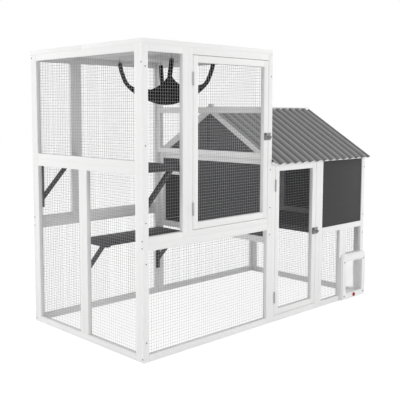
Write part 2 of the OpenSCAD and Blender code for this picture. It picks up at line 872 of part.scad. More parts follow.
module hammock_cloth() {
    n = cloth_n;
    m = n + 1;
    top = [for (i = [0:n], j = [0:n]) cloth_point(2 * i / n - 1, 2 * j / n - 1, cloth_t)];
    bottom = [for (i = [0:n], j = [0:n]) cloth_point(2 * i / n - 1, 2 * j / n - 1, 0)];
    top_faces = [for (i = [0:n - 1], j = [0:n - 1], k = [0, 1])
        let (a = i * m + j, b = a + m) k == 0 ? [a, a + 1, b + 1] : [a, b + 1, b]];
    bottom_faces = [for (f = top_faces) [for (k = [2, 1, 0]) f[k] + m * m]];
    rim = concat([for (j = [0:n]) j], [for (i = [1:n]) i * m + n],
                 [for (j = [n - 1:-1:0]) n * m + j], [for (i = [n - 1:-1:1]) i * m]);
    count = len(rim);
    rim_faces = [for (k = [0:count - 1], side = [0, 1])
        let (a = rim[k], b = rim[(k + 1) % count])
        side == 0 ? [b, a, a + m * m] : [b, a + m * m, b + m * m]];
    color(cloth_black) placed()
        polyhedron(concat(top, bottom), concat(top_faces, bottom_faces, rim_faces), convexity = 6);
}

// One padded strap, swept from on top of a cloth corner up to the underside of its hook
module strap(sx, sy) {
    steps = 8;
    sides = 10;
    corner = cloth_point(sx, sy, cloth_t);
    high = [hammock_x + sx * hook_span_x / 2, hammock_y + sy * hook_span_y / 2,
            hook_z - hook_r - hook_wire_r - fit];
    plan = [high[0] - corner[0], high[1] - corner[1], 0] / norm([high[0] - corner[0], high[1] - corner[1]]);
    low = corner + [0, 0, strap_start];
    across = [-plan[1], plan[0], 0];
    path = [for (i = [0:steps]) let (s = i / steps, reach = 1 - pow(1 - s, 1.5))
        [low[0] + (high[0] - low[0]) * reach, low[1] + (high[1] - low[1]) * reach,
         low[2] + (high[2] - low[2]) * s]];
    rings = [for (i = [0:steps])
        let (step = path[min(i + 1, steps)] - path[max(i - 1, 0)], out = cross(across, step / norm(step)))
        for (k = [0:sides - 1]) path[i] + across * strap_w / 2 * cos(360 * k / sides)
            + out * strap_t / 2 * sin(360 * k / sides)];
    walls = [for (i = [0:steps - 1], k = [0:sides - 1], t = [0, 1])
        let (a = i * sides + k, b = i * sides + (k + 1) % sides)
        t == 0 ? [a, a + sides, b + sides] : [a, b + sides, b]];
    last = steps * sides;
    caps = [for (k = [1:sides - 2], t = [0, 1])
        t == 0 ? [0, k, k + 1] : [last, last + k + 1, last + k]];
    polyhedron(rings, concat(walls, caps), convexity = 4);
}

module hammock_straps() {
    color(cloth_black) placed() for (sx = [-1, 1], sy = [-1, 1]) strap(sx, sy);
}

module hammock_hooks() {
    color(metal) placed() for (sx = [-1, 1], sy = [-1, 1])
        translate([hammock_x + sx * hook_span_x / 2, hammock_y + sy * hook_span_y / 2, hook_z]) {
            rotate([90, 0, 45]) rotate_extrude($fn = 24)
                translate([hook_r, 0]) circle(hook_wire_r, $fn = 16);
            translate([0, 0, hook_r - 1])
                cylinder(r = hook_wire_r, h = wall_h - hook_z - hook_r + 1, $fn = 16);
        }
}

// Hinges

// Where the knuckles of one leaf lie along the barrel
knuckle = hinge_h / 3;
knuckle_gap = 0.15;
head_step = 0.5;
pin_past = 1;
pin_head_t = 2;
door_knuckles = [1];
frame_knuckles = [0, 2];

// One leaf, which lies on the side (-1 or 1) of the gap and runs back from the barrel
module hinge_leaf(side, knuckles) {
    leaf_x = side > 0 ? door_gap / 2 - leaf_t : -door_gap / 2;
    neck = barrel_r / 2;
    difference() {
        union() {
            translate([leaf_x, 0, 0]) cube([leaf_t, leaf_w, hinge_h]);
            for (k = knuckles) translate([0, 0, k * knuckle + knuckle_gap]) {
                translate([0, barrel_y, 0])
                    cylinder(r = barrel_r, h = knuckle - 2 * knuckle_gap, $fn = 32);
                translate([leaf_x, -neck, 0]) cube([leaf_t, neck + 1, knuckle - 2 * knuckle_gap]);
            }
        }
        translate([0, barrel_y, -1]) cylinder(r = pin_r + run_fit, h = hinge_h + 2, $fn = 32);
    }
}

module at_hinges(x, zs) {
    placed() for (z = zs) translate([x - door_gap / 2, 0, z]) children();
}

module hinge_frame_leaves() {
    color(metal) {
        at_hinges(tall_door_x, tall_hinge_zs) hinge_leaf(-1, frame_knuckles);
        at_hinges(narrow_door_x, narrow_hinge_zs) hinge_leaf(-1, frame_knuckles);
    }
}

module tall_door_hinge_leaves() {
    color(metal) at_hinges(tall_door_x, tall_hinge_zs) hinge_leaf(1, door_knuckles);
}

module narrow_door_hinge_leaves() {
    color(metal) at_hinges(narrow_door_x, narrow_hinge_zs) hinge_leaf(1, door_knuckles);
}

module hinge_pin() {
    translate([0, barrel_y, -pin_past]) cylinder(r = pin_r, h = hinge_h + 2 * pin_past, $fn = 32);
    translate([0, barrel_y, hinge_h]) cylinder(r = barrel_r - head_step, h = pin_head_t, $fn = 32);
}

module hinge_pins() {
    color(metal) {
        at_hinges(tall_door_x, tall_hinge_zs) hinge_pin();
        at_hinges(narrow_door_x, narrow_hinge_zs) hinge_pin();
    }
}

// Slide latches, drawn from the left edge of the door's closing stile at the latch's height

module latch_plate() {
    w = board_w - 2 * latch_side;
    difference() {
        union() {
            translate([latch_side, -latch_plate_t, -latch_drop])
                cube([w, latch_plate_t, latch_drop + latch_rise]);
            for (x = [latch_side, latch_side + w - guide_t]) translate([x, -guide_d, -guide_h / 2])
                cube([guide_t, guide_d, guide_h]);
        }
        translate([0, bolt_y, 0]) rotate([0, 90, 0])
            cylinder(r = bolt_r + run_fit, h = board_w, $fn = 32);
    }
}

// The bolt is drawn back, with its tip clear of the keeper, and its ball stands up on a stem
module latch_bolt() {
    tip = 2;
    back = latch_side;
    length = keeper_offset + loop_offset - tip_gap - back - tip;
    translate([0, bolt_y, 0]) {
        translate([back, 0, 0]) rotate([0, 90, 0]) {
            cylinder(r = bolt_r, h = length, $fn = 32);
            translate([0, 0, length]) cylinder(r1 = bolt_r, r2 = bolt_r - tip, h = tip, $fn = 32);
        }
        translate([bolt_stem_x, 0, 0]) cylinder(r = bolt_stem_r, h = bolt_stem_h, $fn = 24);
        translate([bolt_stem_x, 0, bolt_ball_z]) difference() {
            sphere(bolt_ball_r, $fn = 32);
            translate([0, 0, -bolt_ball_r - 1])
                cylinder(r = bolt_stem_r + run_fit, h = bolt_ball_r + 2, $fn = 24);
        }
    }
}

module latch_keeper() {
    translate([keeper_offset, 0, 0]) difference() {
        union() {
            translate([0, -latch_plate_t, -latch_drop])
                cube([keeper_w, latch_plate_t, latch_drop + latch_rise]);
            translate([loop_offset, -guide_d, -guide_h / 2]) cube([loop_t, guide_d, guide_h]);
        }
        translate([loop_offset - 1, bolt_y - bolt_r - 0.5, -bolt_r - 0.5])
            cube([loop_t + 2, 2 * bolt_r + 1, 2 * bolt_r + 1]);
    }
}

module at_tall_latch() {
    placed() translate([tall_door_x + tall_door_w - board_w, 0, tall_door_z + tall_latch_z]) children();
}

module at_narrow_latch() {
    placed() translate([narrow_door_x + narrow_door_w - board_w, 0, narrow_door_z + narrow_latch_z])
        children();
}

module tall_door_latch() {
    color(metal) at_tall_latch() latch_plate();
}

module tall_door_bolt() {
    color(metal) at_tall_latch() latch_bolt();
}

module narrow_door_latch() {
    color(metal) at_narrow_latch() latch_plate();
}

module narrow_door_bolt() {
    color(metal) at_narrow_latch() latch_bolt();
}

module latch_keepers() {
    color(metal) {
        at_tall_latch() latch_keeper();
        at_narrow_latch() latch_keeper();
    }
}

// Screws: a low round head with a shank that bites into the timber behind it

// Drawn with its head in front of y = 0 and its shank towards +Y
module wood_screw(l) {
    rotate([-90, 0, 0]) {
        translate([0, 0, -screw_head_h]) cylinder(r = screw_head_r, h = screw_head_h, $fn = 24);
        cylinder(r = screw_r, h = l, $fn = 24);
    }
}

// Heights of the screws that join the front frames to the walls behind them
left_screw_zs = [114, front_join_z - 110, front_join_z + 120, wall_h - 552, wall_h - 122];
middle_screw_zs = [front_join_z - 72, front_join_z + 107, side_low_z - 65];
side_screw_z = wall_h - 142;
right_screw_zs = [side_rail_z - 52, floor_z + 48, side_top_z - 106];
// Heights of the screws through the near and the far corner post into the rails
near_screw_zs = [board_w / 2, front_join_z - board_w / 2, front_join_z + board_w / 2, wall_h - 99];
far_screw_zs = [board_w / 2, front_join_z - board_w / 2, front_join_z + board_w / 2 + 14,
                wall_h - board_w / 2];
near_screw_y = 10;
left_screw_x = 20;

module screws() {
    color(metal) placed() {
        for (p = flap_screw_points) translate([p[0], -flap_frame_d, p[1]]) wood_screw(screw_l);
        for (z = left_screw_zs) translate([left_screw_x, 0, z]) wood_screw(screw_l);
        for (z = middle_screw_zs) translate([run_w - board_t / 2, 0, z]) wood_screw(board_t - 3);
        translate([run_w - board_t / 2, 0, side_screw_z]) wood_screw(screw_l);
        for (z = right_screw_zs) translate([total_w - board_t / 2, 0, z]) wood_screw(screw_l);
        for (z = near_screw_zs) translate([0, near_screw_y, z]) rotate([0, 0, -90])
            wood_screw(screw_l + 10);
        for (z = far_screw_zs) translate([0, depth - board_t / 2, z]) rotate([0, 0, -90])
            wood_screw(screw_l + 10);
    }
}

left_lower_frame();
left_upper_frame();
left_mesh();
front_lower_frame();
front_bay_frame();
tall_door_surround();
front_mesh();
tall_door_frame();
tall_door_mesh();
back_lower_frame();
back_bay_frame();
back_wide_frame();
back_mesh();
side_upper_frame();
side_upper_mesh();
top_deck_boards();
porch_frame();
narrow_door_frame();
narrow_door_mesh();
nest_front_frame();
nest_front_mesh();
nest_front_panel();
house_back_frame();
house_back_mesh();
house_back_panel();
end_lower_frame();
end_lower_mesh();
end_upper_frame();
end_wall_panels();
house_side_frame();
house_side_panels();
gable_frames();
gable_panels();
floor_bearers();
house_floor();
ridge_beam();
ridge_board();
eave_fillers();
roof_front_sheet();
roof_back_sheet();
flap_outer_frame();
flap_inner_frame();
cat_flap();
lock_knob();
upper_shelf();
lower_shelf();
shelf_brackets();
hammock_cloth();
hammock_straps();
hammock_hooks();
hinge_frame_leaves();
hinge_pins();
tall_door_hinge_leaves();
narrow_door_hinge_leaves();
tall_door_latch();
tall_door_bolt();
narrow_door_latch();
narrow_door_bolt();
latch_keepers();
screws();
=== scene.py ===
"""The outdoor cat enclosure, finished in paint, wire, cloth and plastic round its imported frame."""

from __future__ import annotations

import logging
import math
import random
from collections.abc import Callable, Iterable, Sequence
from dataclasses import dataclass
from enum import Enum
from itertools import accumulate

import bmesh
import bpy
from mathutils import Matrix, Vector


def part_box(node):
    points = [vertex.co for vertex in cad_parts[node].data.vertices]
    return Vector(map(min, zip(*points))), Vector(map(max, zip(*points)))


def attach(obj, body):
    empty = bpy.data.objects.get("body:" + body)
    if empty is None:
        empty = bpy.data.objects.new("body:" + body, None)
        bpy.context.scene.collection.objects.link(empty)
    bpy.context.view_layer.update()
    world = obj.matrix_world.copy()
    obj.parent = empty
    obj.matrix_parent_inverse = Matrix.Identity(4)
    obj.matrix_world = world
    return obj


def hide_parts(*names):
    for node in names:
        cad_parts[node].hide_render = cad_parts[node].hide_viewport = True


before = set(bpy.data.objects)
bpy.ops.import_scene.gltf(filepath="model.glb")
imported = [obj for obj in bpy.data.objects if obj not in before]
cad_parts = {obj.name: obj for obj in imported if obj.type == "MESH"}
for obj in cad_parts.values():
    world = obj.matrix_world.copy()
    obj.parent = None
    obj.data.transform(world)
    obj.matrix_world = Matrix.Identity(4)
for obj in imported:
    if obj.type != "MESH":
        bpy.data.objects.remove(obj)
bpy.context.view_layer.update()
log = logging.getLogger("enclosure")

Colour = tuple[float, float, float]
Point = tuple[float, float, float]
Piece = bpy.types.Object
Material = bpy.types.Material
Tree = bpy.types.NodeTree
Node = bpy.types.Node
Socket = bpy.types.NodeSocket
Pattern = tuple[Socket, Socket, Socket]
Corner = bmesh.types.BMVert

UP = Vector((0.0, 0.0, 1.0))
WHITE_LIGHT = (1.0, 1.0, 1.0, 1.0)
MERGE_REACH = 0.00001
BOX_REACH = 0.00005
EASED_ANGLE = 40.0


class Body(Enum):
    """The moving bodies that a piece can ride on."""

    ENCLOSURE = "enclosure"
    TALL_DOOR = "tall_door"
    TALL_BOLT = "tall_bolt"
    NARROW_DOOR = "narrow_door"
    NARROW_BOLT = "narrow_bolt"
    FLAP = "flap"
    KNOB = "knob"


class Slot(Enum):
    """The record's material slots."""

    WHITE = "white_timber"
    DARK = "dark_timber"
    MESH = "galvanised_mesh"
    ROOF = "roof_sheet"
    FLAP_FRAME = "flap_frame_plastic"
    METAL = "hinge_and_latch_metal"
    CLEAR = "clear_flap"
    RED = "red_knob"
    SCREWS = "screws"
    CLOTH = "hammock_cloth"
    WEBBING = "hammock_webbing"


# Shading


class Sketch:
    """Adds nodes to a shader tree and joins them up."""

    def __init__(self, tree: Tree) -> None:
        """Starts on an empty tree.

        Args:
            tree: The node tree to draw in.
        """
        self.tree = tree
        tree.nodes.clear()

    def add(self, kind: str, inputs: dict[str | int, object] | None = None,
            **settings: object) -> Node:
        """Adds one node.

        Args:
            kind: The node's type, without its ShaderNode prefix.
            inputs: A value or a socket for each input, by name or place.
            **settings: The node's own settings.

        Returns:
            The new node.
        """
        node = self.tree.nodes.new(kind if kind.startswith("NodeGroup") else "ShaderNode" + kind)
        for name, value in settings.items():
            setattr(node, name, value)
        self.connect(node, inputs or {})
        return node

    def connect(self, node: Node, inputs: dict[str | int, object]) -> None:
        """Gives inputs of a node their values or sockets."""
        for key, value in inputs.items():
            if isinstance(value, Socket):
                self.tree.links.new(value, node.inputs[key])
            else:
                node.inputs[key].default_value = value

    def math(self, operation: str, a: object, b: object = 0.0) -> Socket:
        """Returns the result of a Math node on two values or sockets."""
        return self.add("Math", {0: a, 1: b}, operation=operation).outputs[0]

    def weigh(self, share: float, first: object, second: object) -> Socket:
        """Returns a share of the first value with the rest of the second."""
        return self.math("ADD", self.math("MULTIPLY", first, share),
                         self.math("MULTIPLY", second, 1.0 - share))

    def blend(self, share: object, low: Colour, high: Colour) -> Socket:
        """Returns the mix of two colours by a share from 0 to 1."""
        mix = self.add("Mix", {0: share, 6: (*low, 1.0), 7: (*high, 1.0)}, data_type="RGBA")
        return mix.outputs[2]

    def noise(self, place: Socket, **inputs: object) -> Socket:
        """Returns the value of a noise texture over a place."""
        return self.add("TexNoise", {"Vector": place, **inputs}).outputs["Fac"]

    def group(self, tree: Tree, inputs: dict[str | int, object]) -> bpy.types.NodeOutputs:
        """Returns the outputs of a shared group, placed with the inputs given."""
        return self.add("Group", inputs, node_tree=tree).outputs

    def end(self, output: str, lights: Node, seen: Node) -> None:
        """Ends the tree with one shader for the light and another for what is seen.

        Args:
            output: The kind of output that ends it.
            lights: The shader that lights the object.
            seen: The shader that the camera, mirrors and clear pieces see.
        """
        path = self.add("LightPath").outputs
        rays = self.math("MAXIMUM", path["Is Glossy Ray"], path["Is Transmission Ray"])
        straight = self.math("MAXIMUM", path["Is Camera Ray"], rays)
        mixed = self.add("MixShader", {0: straight, 1: lights.outputs[0], 2: seen.outputs[0]})
        self.add(output, {"Surface": mixed.outputs[0]})


class Surface(Sketch):
    """The sketch of a material with one Principled surface."""

    def __init__(self, name: str) -> None:
        """Starts the material.

        Args:
            name: The material's name.
        """
        self.material = bpy.data.materials.new(name)
        self.material.use_nodes = True
        super().__init__(self.material.node_tree)
        self.shader = self.add("BsdfPrincipled")
        self.add("OutputMaterial", {"Surface": self.shader.outputs[0]})

    def place(self, kind: str) -> Socket:
        """Returns the place on the piece, by Object or UV coordinates."""
        return self.add("TexCoord").outputs[kind]

    def mottle(self, effects: SharedEffects, scale: float) -> bpy.types.NodeOutputs:
        """Returns the outputs of the fine mottle over the object's own place."""
        return self.group(effects.mottle, {"Vector": self.place("Object"), "Scale": scale})


def new_group(name: str, inputs: dict[str, object], outputs: Sequence[str]
              ) -> tuple[Sketch, bpy.types.NodeOutputs, Node]:
    """Makes an empty shader group with named sockets.

    Args:
        name: The group's name.
        inputs: Each input's name and its value, where None stands for a vector.
        outputs: The names of the outputs, all of them plain values.

    Returns:
        The sketch of the group, the sockets that bring its inputs, and its output node.
    """
    tree = bpy.data.node_groups.new(name, "ShaderNodeTree")
    for label, value in inputs.items():
        kind = "NodeSocketVector" if value is None else "NodeSocketFloat"
        socket = tree.interface.new_socket(label, in_out="INPUT", socket_type=kind)
        if value is not None:
            socket.default_value = value
    for label in outputs:
        tree.interface.new_socket(label, in_out="OUTPUT", socket_type="NodeSocketFloat")
    sketch = Sketch(tree)
    return sketch, sketch.add("NodeGroupInput").outputs, sketch.add("NodeGroupOutput")


def board_grain_group() -> Tree:
    """Grain and brush marks along a board, on a map in metres with U along the board."""
    sketch, source, result = new_group(
        "Board grain", {"Vector": None, "Along": 3.0, "Across": 130.0, "Figure": 22.0},
        ("Shade", "Height"))
    split = sketch.add("SeparateXYZ", {0: source["Vector"]}).outputs
    along = sketch.math("MULTIPLY", split[0], source["Along"])
    fine, broad = (
        sketch.add("CombineXYZ", {0: along, 1: sketch.math("MULTIPLY", split[1], across),
                                  2: split[2]}).outputs[0]
        for across in (source["Across"], source["Figure"]))
    fibres = sketch.noise(fine, Scale=1.0, Detail=4.0, Roughness=0.62, Distortion=0.35)
    figure = sketch.noise(broad, Scale=0.8, Detail=2.0, Roughness=0.5, Distortion=1.2)
    sketch.connect(result, {"Shade": sketch.weigh(0.55, fibres, figure), "Height": fibres})
    return sketch.tree


def mottle_group() -> Tree:
    """Fine mottling and pores of a metal, plastic or sheet surface, on a map in metres."""
    sketch, source, result = new_group(
        "Fine mottle", {"Vector": None, "Scale": 180.0, "Pores": 5.0}, ("Amount", "Height"))
    fine = sketch.math("MULTIPLY", source["Scale"], source["Pores"])
    sketch.connect(result, {
        "Amount": sketch.noise(source["Vector"], Scale=source["Scale"], Detail=3.0),
        "Height": sketch.noise(source["Vector"], Scale=fine, Detail=2.0),
    })
    return sketch.tree


def weave_group() -> Tree:
    """A plain weave of warp and weft, with worn patches, on a map in metres."""
    sketch, source, result = new_group(
        "Plain weave", {"Vector": None, "Threads": 900.0, "Wear": 14.0}, ("Shade", "Height"))
    split = sketch.add("SeparateXYZ", {0: source["Vector"]}).outputs
    turns = [sketch.math("MULTIPLY", split[i], source["Threads"]) for i in (0, 1)]
    ribs = [sketch.math("ABSOLUTE", sketch.math("SINE", sketch.math("MULTIPLY", t, math.pi)))
            for t in turns]
    cell = sketch.math("ADD", *(sketch.math("FLOOR", t) for t in turns))
    over = sketch.math("ABSOLUTE", sketch.math("MODULO", cell, 2.0))
    warp = sketch.math("MULTIPLY", ribs[0], over)
    weft = sketch.math("MULTIPLY", ribs[1], sketch.math("SUBTRACT", 1.0, over))
    height = sketch.math("ADD", warp, weft)
    worn = sketch.noise(source["Vector"], Scale=source["Wear"], Detail=3.0)
    shade = sketch.math("MULTIPLY", worn, sketch.weigh(0.5, height, 1.0))
    sketch.connect(result, {"Shade": shade, "Height": height})
    return sketch.tree


@dataclass(frozen=True)
class SharedEffects:
    """The shader groups that several finishes place."""

    grain: Tree
    mottle: Tree
    weave: Tree

    @classmethod
    def make(cls) -> SharedEffects:
        """Builds each group once."""
        return cls(board_grain_group(), mottle_group(), weave_group())


@dataclass(frozen=True)
class Finish:
    """A surface that varies between two colours after a pattern of its own."""

    name: str
    pale: Colour
    deep: Colour
    roughness: float
    relief: float
    shine: float = 0.5
    metallic: float = 0.0
    coat: float = 0.0
    gloss_range: float = 0.12
    depth: float = 0.0004

    def pattern(self, surface: Surface, effects: SharedEffects) -> Pattern:
        """Returns the share of the pale colour, that of the roughness, and the height."""
        raise NotImplementedError

    def material(self, effects: SharedEffects) -> Material:
        """Returns the finish as a material.

        Args:
            effects: The shader groups that it may place.
        """
        surface = Surface(self.name)
        share, rough, height = self.pattern(surface, effects)
        bump = surface.add("Bump", {"Strength": self.relief, "Distance": self.depth,
                                    "Height": height})
        surface.connect(surface.shader, {
            "Base Color": surface.blend(share, self.deep, self.pale),
            "Roughness": surface.math("ADD", surface.math("MULTIPLY", rough, self.gloss_range),
                                      self.roughness - self.gloss_range / 2),
            "Specular IOR Level": self.shine,
            "Metallic": self.metallic,
            "Coat Weight": self.coat,
            "Normal": bump.outputs[0],
        })
        return surface.material


@dataclass(frozen=True)
class Paint(Finish):
    """Satin paint brushed over planed softwood, which follows each board's own map."""

    depth: float = 0.0006
    grain_share: float = 0.7

    def pattern(self, surface: Surface, effects: SharedEffects) -> Pattern:
        """Returns the grain, with each board's own tone in the colour."""
        grain = surface.group(effects.grain, {"Vector": surface.place("UV")})
        tone = surface.add("Attribute", attribute_name="board_tone").outputs["Fac"]
        share = surface.weigh(self.grain_share, grain["Shade"], tone)
        return share, grain["Height"], grain["Height"]


@dataclass(frozen=True)
class Mottled(Finish):
    """A metal or moulded plastic with a fine mottle, which follows the object's own place."""

    scale: float = 180.0

    def pattern(self, surface: Surface, effects: SharedEffects) -> Pattern:
        """Returns the mottle."""
        mottle = surface.mottle(effects, self.scale)
        return mottle["Amount"], mottle["Amount"], mottle["Height"]


@dataclass(frozen=True)
class Corrugated(Mottled):
    """Painted corrugated sheet, with painted light on its crests and painted shade in its valleys.
    """

    # How much of the colour is painted light on the crests and painted shade in the valleys.
    painted_shade_share: float = 0.8

    def pattern(self, surface: Surface, effects: SharedEffects) -> Pattern:
        """Returns the mottle, with painted shade in the valleys and painted light on the crests of
        the sheet.
        """
        amount, rough, height = super().pattern(surface, effects)
        # This attribute is 1 on the crests and 0 in the valleys, and paints light onto the crests
        # and shade into the valleys.
        wave = surface.add("Attribute", attribute_name="crest_painted_light").outputs["Fac"]
        return surface.weigh(self.painted_shade_share, wave, amount), rough, height


@dataclass(frozen=True)
class Woven(Finish):
    """Woven cloth or webbing, which follows the piece's own map."""

    gloss_range: float = 0.0
    threads: float = 900.0

    def pattern(self, surface: Surface, effects: SharedEffects) -> Pattern:
        """Returns the weave."""
        weave = surface.group(effects.weave, {"Vector": surface.place("UV"),
                                              "Threads": self.threads})
        return weave["Shade"], weave["Height"], weave["Height"]


@dataclass(frozen=True)
class ClearPlastic:
    """Clear moulded plastic."""

    name: str
    tint: Colour
    roughness: float = 0.3
    gloss_range: float = 0.04
    scale: float = 40.0
    bending: float = 1.1

    def material(self, effects: SharedEffects) -> Material:
        """Returns the see-through material."""
        surface = Surface(self.name)
        rough = surface.math("MULTIPLY", surface.mottle(effects, self.scale)["Amount"],
                             self.gloss_range)
        surface.connect(surface.shader, {
            "Base Color": (*self.tint, 1.0),
            "Transmission Weight": 1.0,
            "IOR": self.bending,
            "Roughness": surface.math("ADD", rough, self.roughness - self.gloss_range / 2),
        })
        return surface.material


@dataclass(frozen=True)
class Finishes:
    """Every material of the enclosure."""

    white: Material
    dark: Material
    wire: Material
    roof: Material
    plastic: Material
    clear: Material
    red: Material
    black: Material
    zinc: Material
    dull_zinc: Material
    steel: Material
    cloth: Material
    webbing: Material

    @classmethod
    def mix(cls, effects: SharedEffects) -> Finishes:
        """Mixes each finish from its recipe."""
        recipes = (
            Paint("White satin paint", (0.865, 0.865, 0.861), (0.81, 0.81, 0.806), 0.62, 0.06,
                  shine=0.25),
            Paint("Dark grey paint", (0.072, 0.072, 0.074), (0.05, 0.05, 0.052), 0.74, 0.25,
                  shine=0.12),
            Mottled("Galvanised wire", (0.43, 0.43, 0.44), (0.33, 0.33, 0.34), 0.5, 0.06,
                    metallic=0.3, scale=60.0),
            # The roof's pale colour is mostly painted light on the crests, and its deep colour
            # mostly painted shade in the valleys.
            Corrugated("Grey roof sheet", (0.29, 0.29, 0.292), (0.077, 0.077, 0.079), 0.55, 0.08,
                       shine=0.3, gloss_range=0.1, scale=38.0),
            Mottled("White moulded plastic", (0.86, 0.86, 0.86), (0.81, 0.81, 0.81), 0.36, 0.04,
                    coat=0.1, scale=90.0),
            ClearPlastic("Clear flap plastic", (0.96, 0.965, 0.965)),
            Mottled("Red moulded plastic", (0.36, 0.004, 0.004), (0.26, 0.003, 0.003), 0.65,
                    0.04, scale=120.0),
            Mottled("Black moulded plastic", (0.014, 0.014, 0.015), (0.007, 0.007, 0.008), 0.45,
                    0.04, scale=120.0),
            Mottled("Zinc plating", (0.5, 0.5, 0.51), (0.34, 0.34, 0.35), 0.38, 0.06,
                    metallic=0.75, scale=220.0),
            Mottled("Dull zinc plating", (0.3, 0.3, 0.305), (0.17, 0.17, 0.175), 0.5, 0.06,
                    metallic=0.5, scale=260.0),
            Mottled("Dark screw steel", (0.07, 0.07, 0.073), (0.03, 0.03, 0.032), 0.6, 0.04,
                    metallic=0.2, scale=300.0),
            Woven("Black canvas", (0.005, 0.005, 0.0055), (0.0015, 0.0015, 0.0015), 0.92, 0.5,
                  shine=0.06),
            Woven("Black webbing", (0.006, 0.006, 0.0065), (0.002, 0.002, 0.002), 0.92, 0.8,
                  shine=0.06, threads=600.0),
        )
        return cls(*(recipe.material(effects) for recipe in recipes))


# Workshop steps


@dataclass(frozen=True)
class Solid:
    """One separate solid of a CAD node: its lowest and highest corner, and whether it is a box."""

    lo: Vector
    hi: Vector
    is_box: bool

    @property
    def size(self) -> Vector:
        """The solid's extent along each axis."""
        return self.hi - self.lo

    @property
    def centre(self) -> Vector:
        """The middle of the solid's box."""
        return (self.hi + self.lo) / 2


def islands(mesh: bmesh.types.BMesh) -> list[list[Corner]]:
    """Returns the vertices of each connected part of a mesh."""
    seen: set[Corner] = set()
    found = []
    for start in mesh.verts:
        if start in seen:
            continue
        part, queue = [], [start]
        seen.add(start)
        while queue:
            vert = queue.pop()
            part.append(vert)
            for edge in vert.link_edges:
                other = edge.other_vert(vert)
                if other not in seen:
                    seen.add(other)
                    queue.append(other)
        found.append(part)
    return found


def solids_of(node: str) -> list[Solid]:
    """Reads the separate solids of a CAD node.

    Args:
        node: The node's name.

    Returns:
        The solids, from the lowest and leftmost on.
    """
    mesh = bmesh.new()
    mesh.from_mesh(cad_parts[node].data)
    bmesh.ops.remove_doubles(mesh, verts=mesh.verts, dist=MERGE_REACH)
    found = []
    for part in islands(mesh):
        lo = Vector([min(v.co[i] for v in part) for i in range(3)])
        hi = Vector([max(v.co[i] for v in part) for i in range(3)])
        square = all(min(abs(v.co[i] - lo[i]), abs(v.co[i] - hi[i])) < BOX_REACH
                     for v in part for i in range(3))
        found.append(Solid(lo, hi, square))
    mesh.free()
    return sorted(found, key=lambda s: tuple(round(c, 4) for c in s.lo))


def deselect() -> None:
    """Leaves nothing selected in object mode."""
    if bpy.context.mode != "OBJECT":
        bpy.ops.object.mode_set(mode="OBJECT")
    bpy.ops.object.select_all(action="DESELECT")


def pick(piece: Piece) -> None:
    """Selects one piece alone and makes it active."""
    deselect()
    piece.select_set(True)
    bpy.context.view_layer.objects.active = piece


def settle(piece: Piece) -> None:
    """Moves the piece's place into its mesh."""
    pick(piece)
    bpy.ops.object.transform_apply(location=True, rotation=True, scale=True)


def add_shape(add: Callable[..., object], name: str = "", **settings: object) -> Piece:
    """Adds one primitive shape and moves its place into its mesh.

    Args:
        add: The operator that adds the shape.
        name: The new piece's name, where it is to have one.
        **settings: The operator's own settings.

    Returns:
        The new piece.
    """
    deselect()
    add(**settings)
    piece = bpy.context.active_object
    settle(piece)
    if name:
        piece.name = piece.data.name = name
    return piece


def modify(piece: Piece, kind: str, **settings: object) -> None:
    """Gives a piece one modifier and applies it.

    Args:
        piece: The piece to change.
        kind: The modifier's type.
        **settings: The modifier's own settings.
    """
    pick(piece)
    modifier = piece.modifiers.new(kind.title(), kind)
    for name, value in settings.items():
        setattr(modifier, name, value)
    bpy.ops.object.modifier_apply(modifier=modifier.name)


def smooth(piece: Piece, angle: float) -> None:
    """Smooths a piece, but for the edges that turn by more than an angle in degrees."""
    pick(piece)
    bpy.ops.object.shade_smooth_by_angle(angle=math.radians(angle))


def ease_edges(piece: Piece, width: float, segments: int = 2, angle: float = 30.0) -> None:
    """Rounds the sharp edges of a piece and smooths what is rounded."""
    modify(piece, "BEVEL", width=width, segments=segments, limit_method="ANGLE",
           angle_limit=math.radians(angle))
    smooth(piece, EASED_ANGLE)


def edit(piece: Piece) -> None:
    """Opens a piece in edit mode with everything selected."""
    pick(piece)
    bpy.ops.object.mode_set(mode="EDIT")
    bpy.ops.mesh.select_all(action="SELECT")


def join_pieces(name: str, pieces: Sequence[Piece]) -> Piece:
    """Joins pieces into the first of them and names it."""
    deselect()
    for piece in pieces:
        piece.select_set(True)
    bpy.context.view_layer.objects.active = pieces[0]
    if len(pieces) > 1:
        bpy.ops.object.join()
    joined = bpy.context.view_layer.objects.active
    joined.name = name
    joined.data.name = name
    return joined


def place_new(name: str, data: bpy.types.ID) -> Piece:
    """Puts new data into the scene as a named object."""
    piece = bpy.data.objects.new(name, data)
    bpy.context.scene.collection.objects.link(piece)
    return piece


def copy_of(piece: Piece, offset: Vector) -> Piece:
    """Returns a copy with its own mesh, moved by an offset."""
    twin = place_new(piece.name, piece.data.copy())
    for vert in twin.data.vertices:
        vert.co += offset
    return twin


def lengths_along(path: Sequence[Vector]) -> list[float]:
    """Returns how far along a path each of its points lies."""
    return [0.0, *accumulate((b - a).length for a, b in zip(path, path[1:]))]


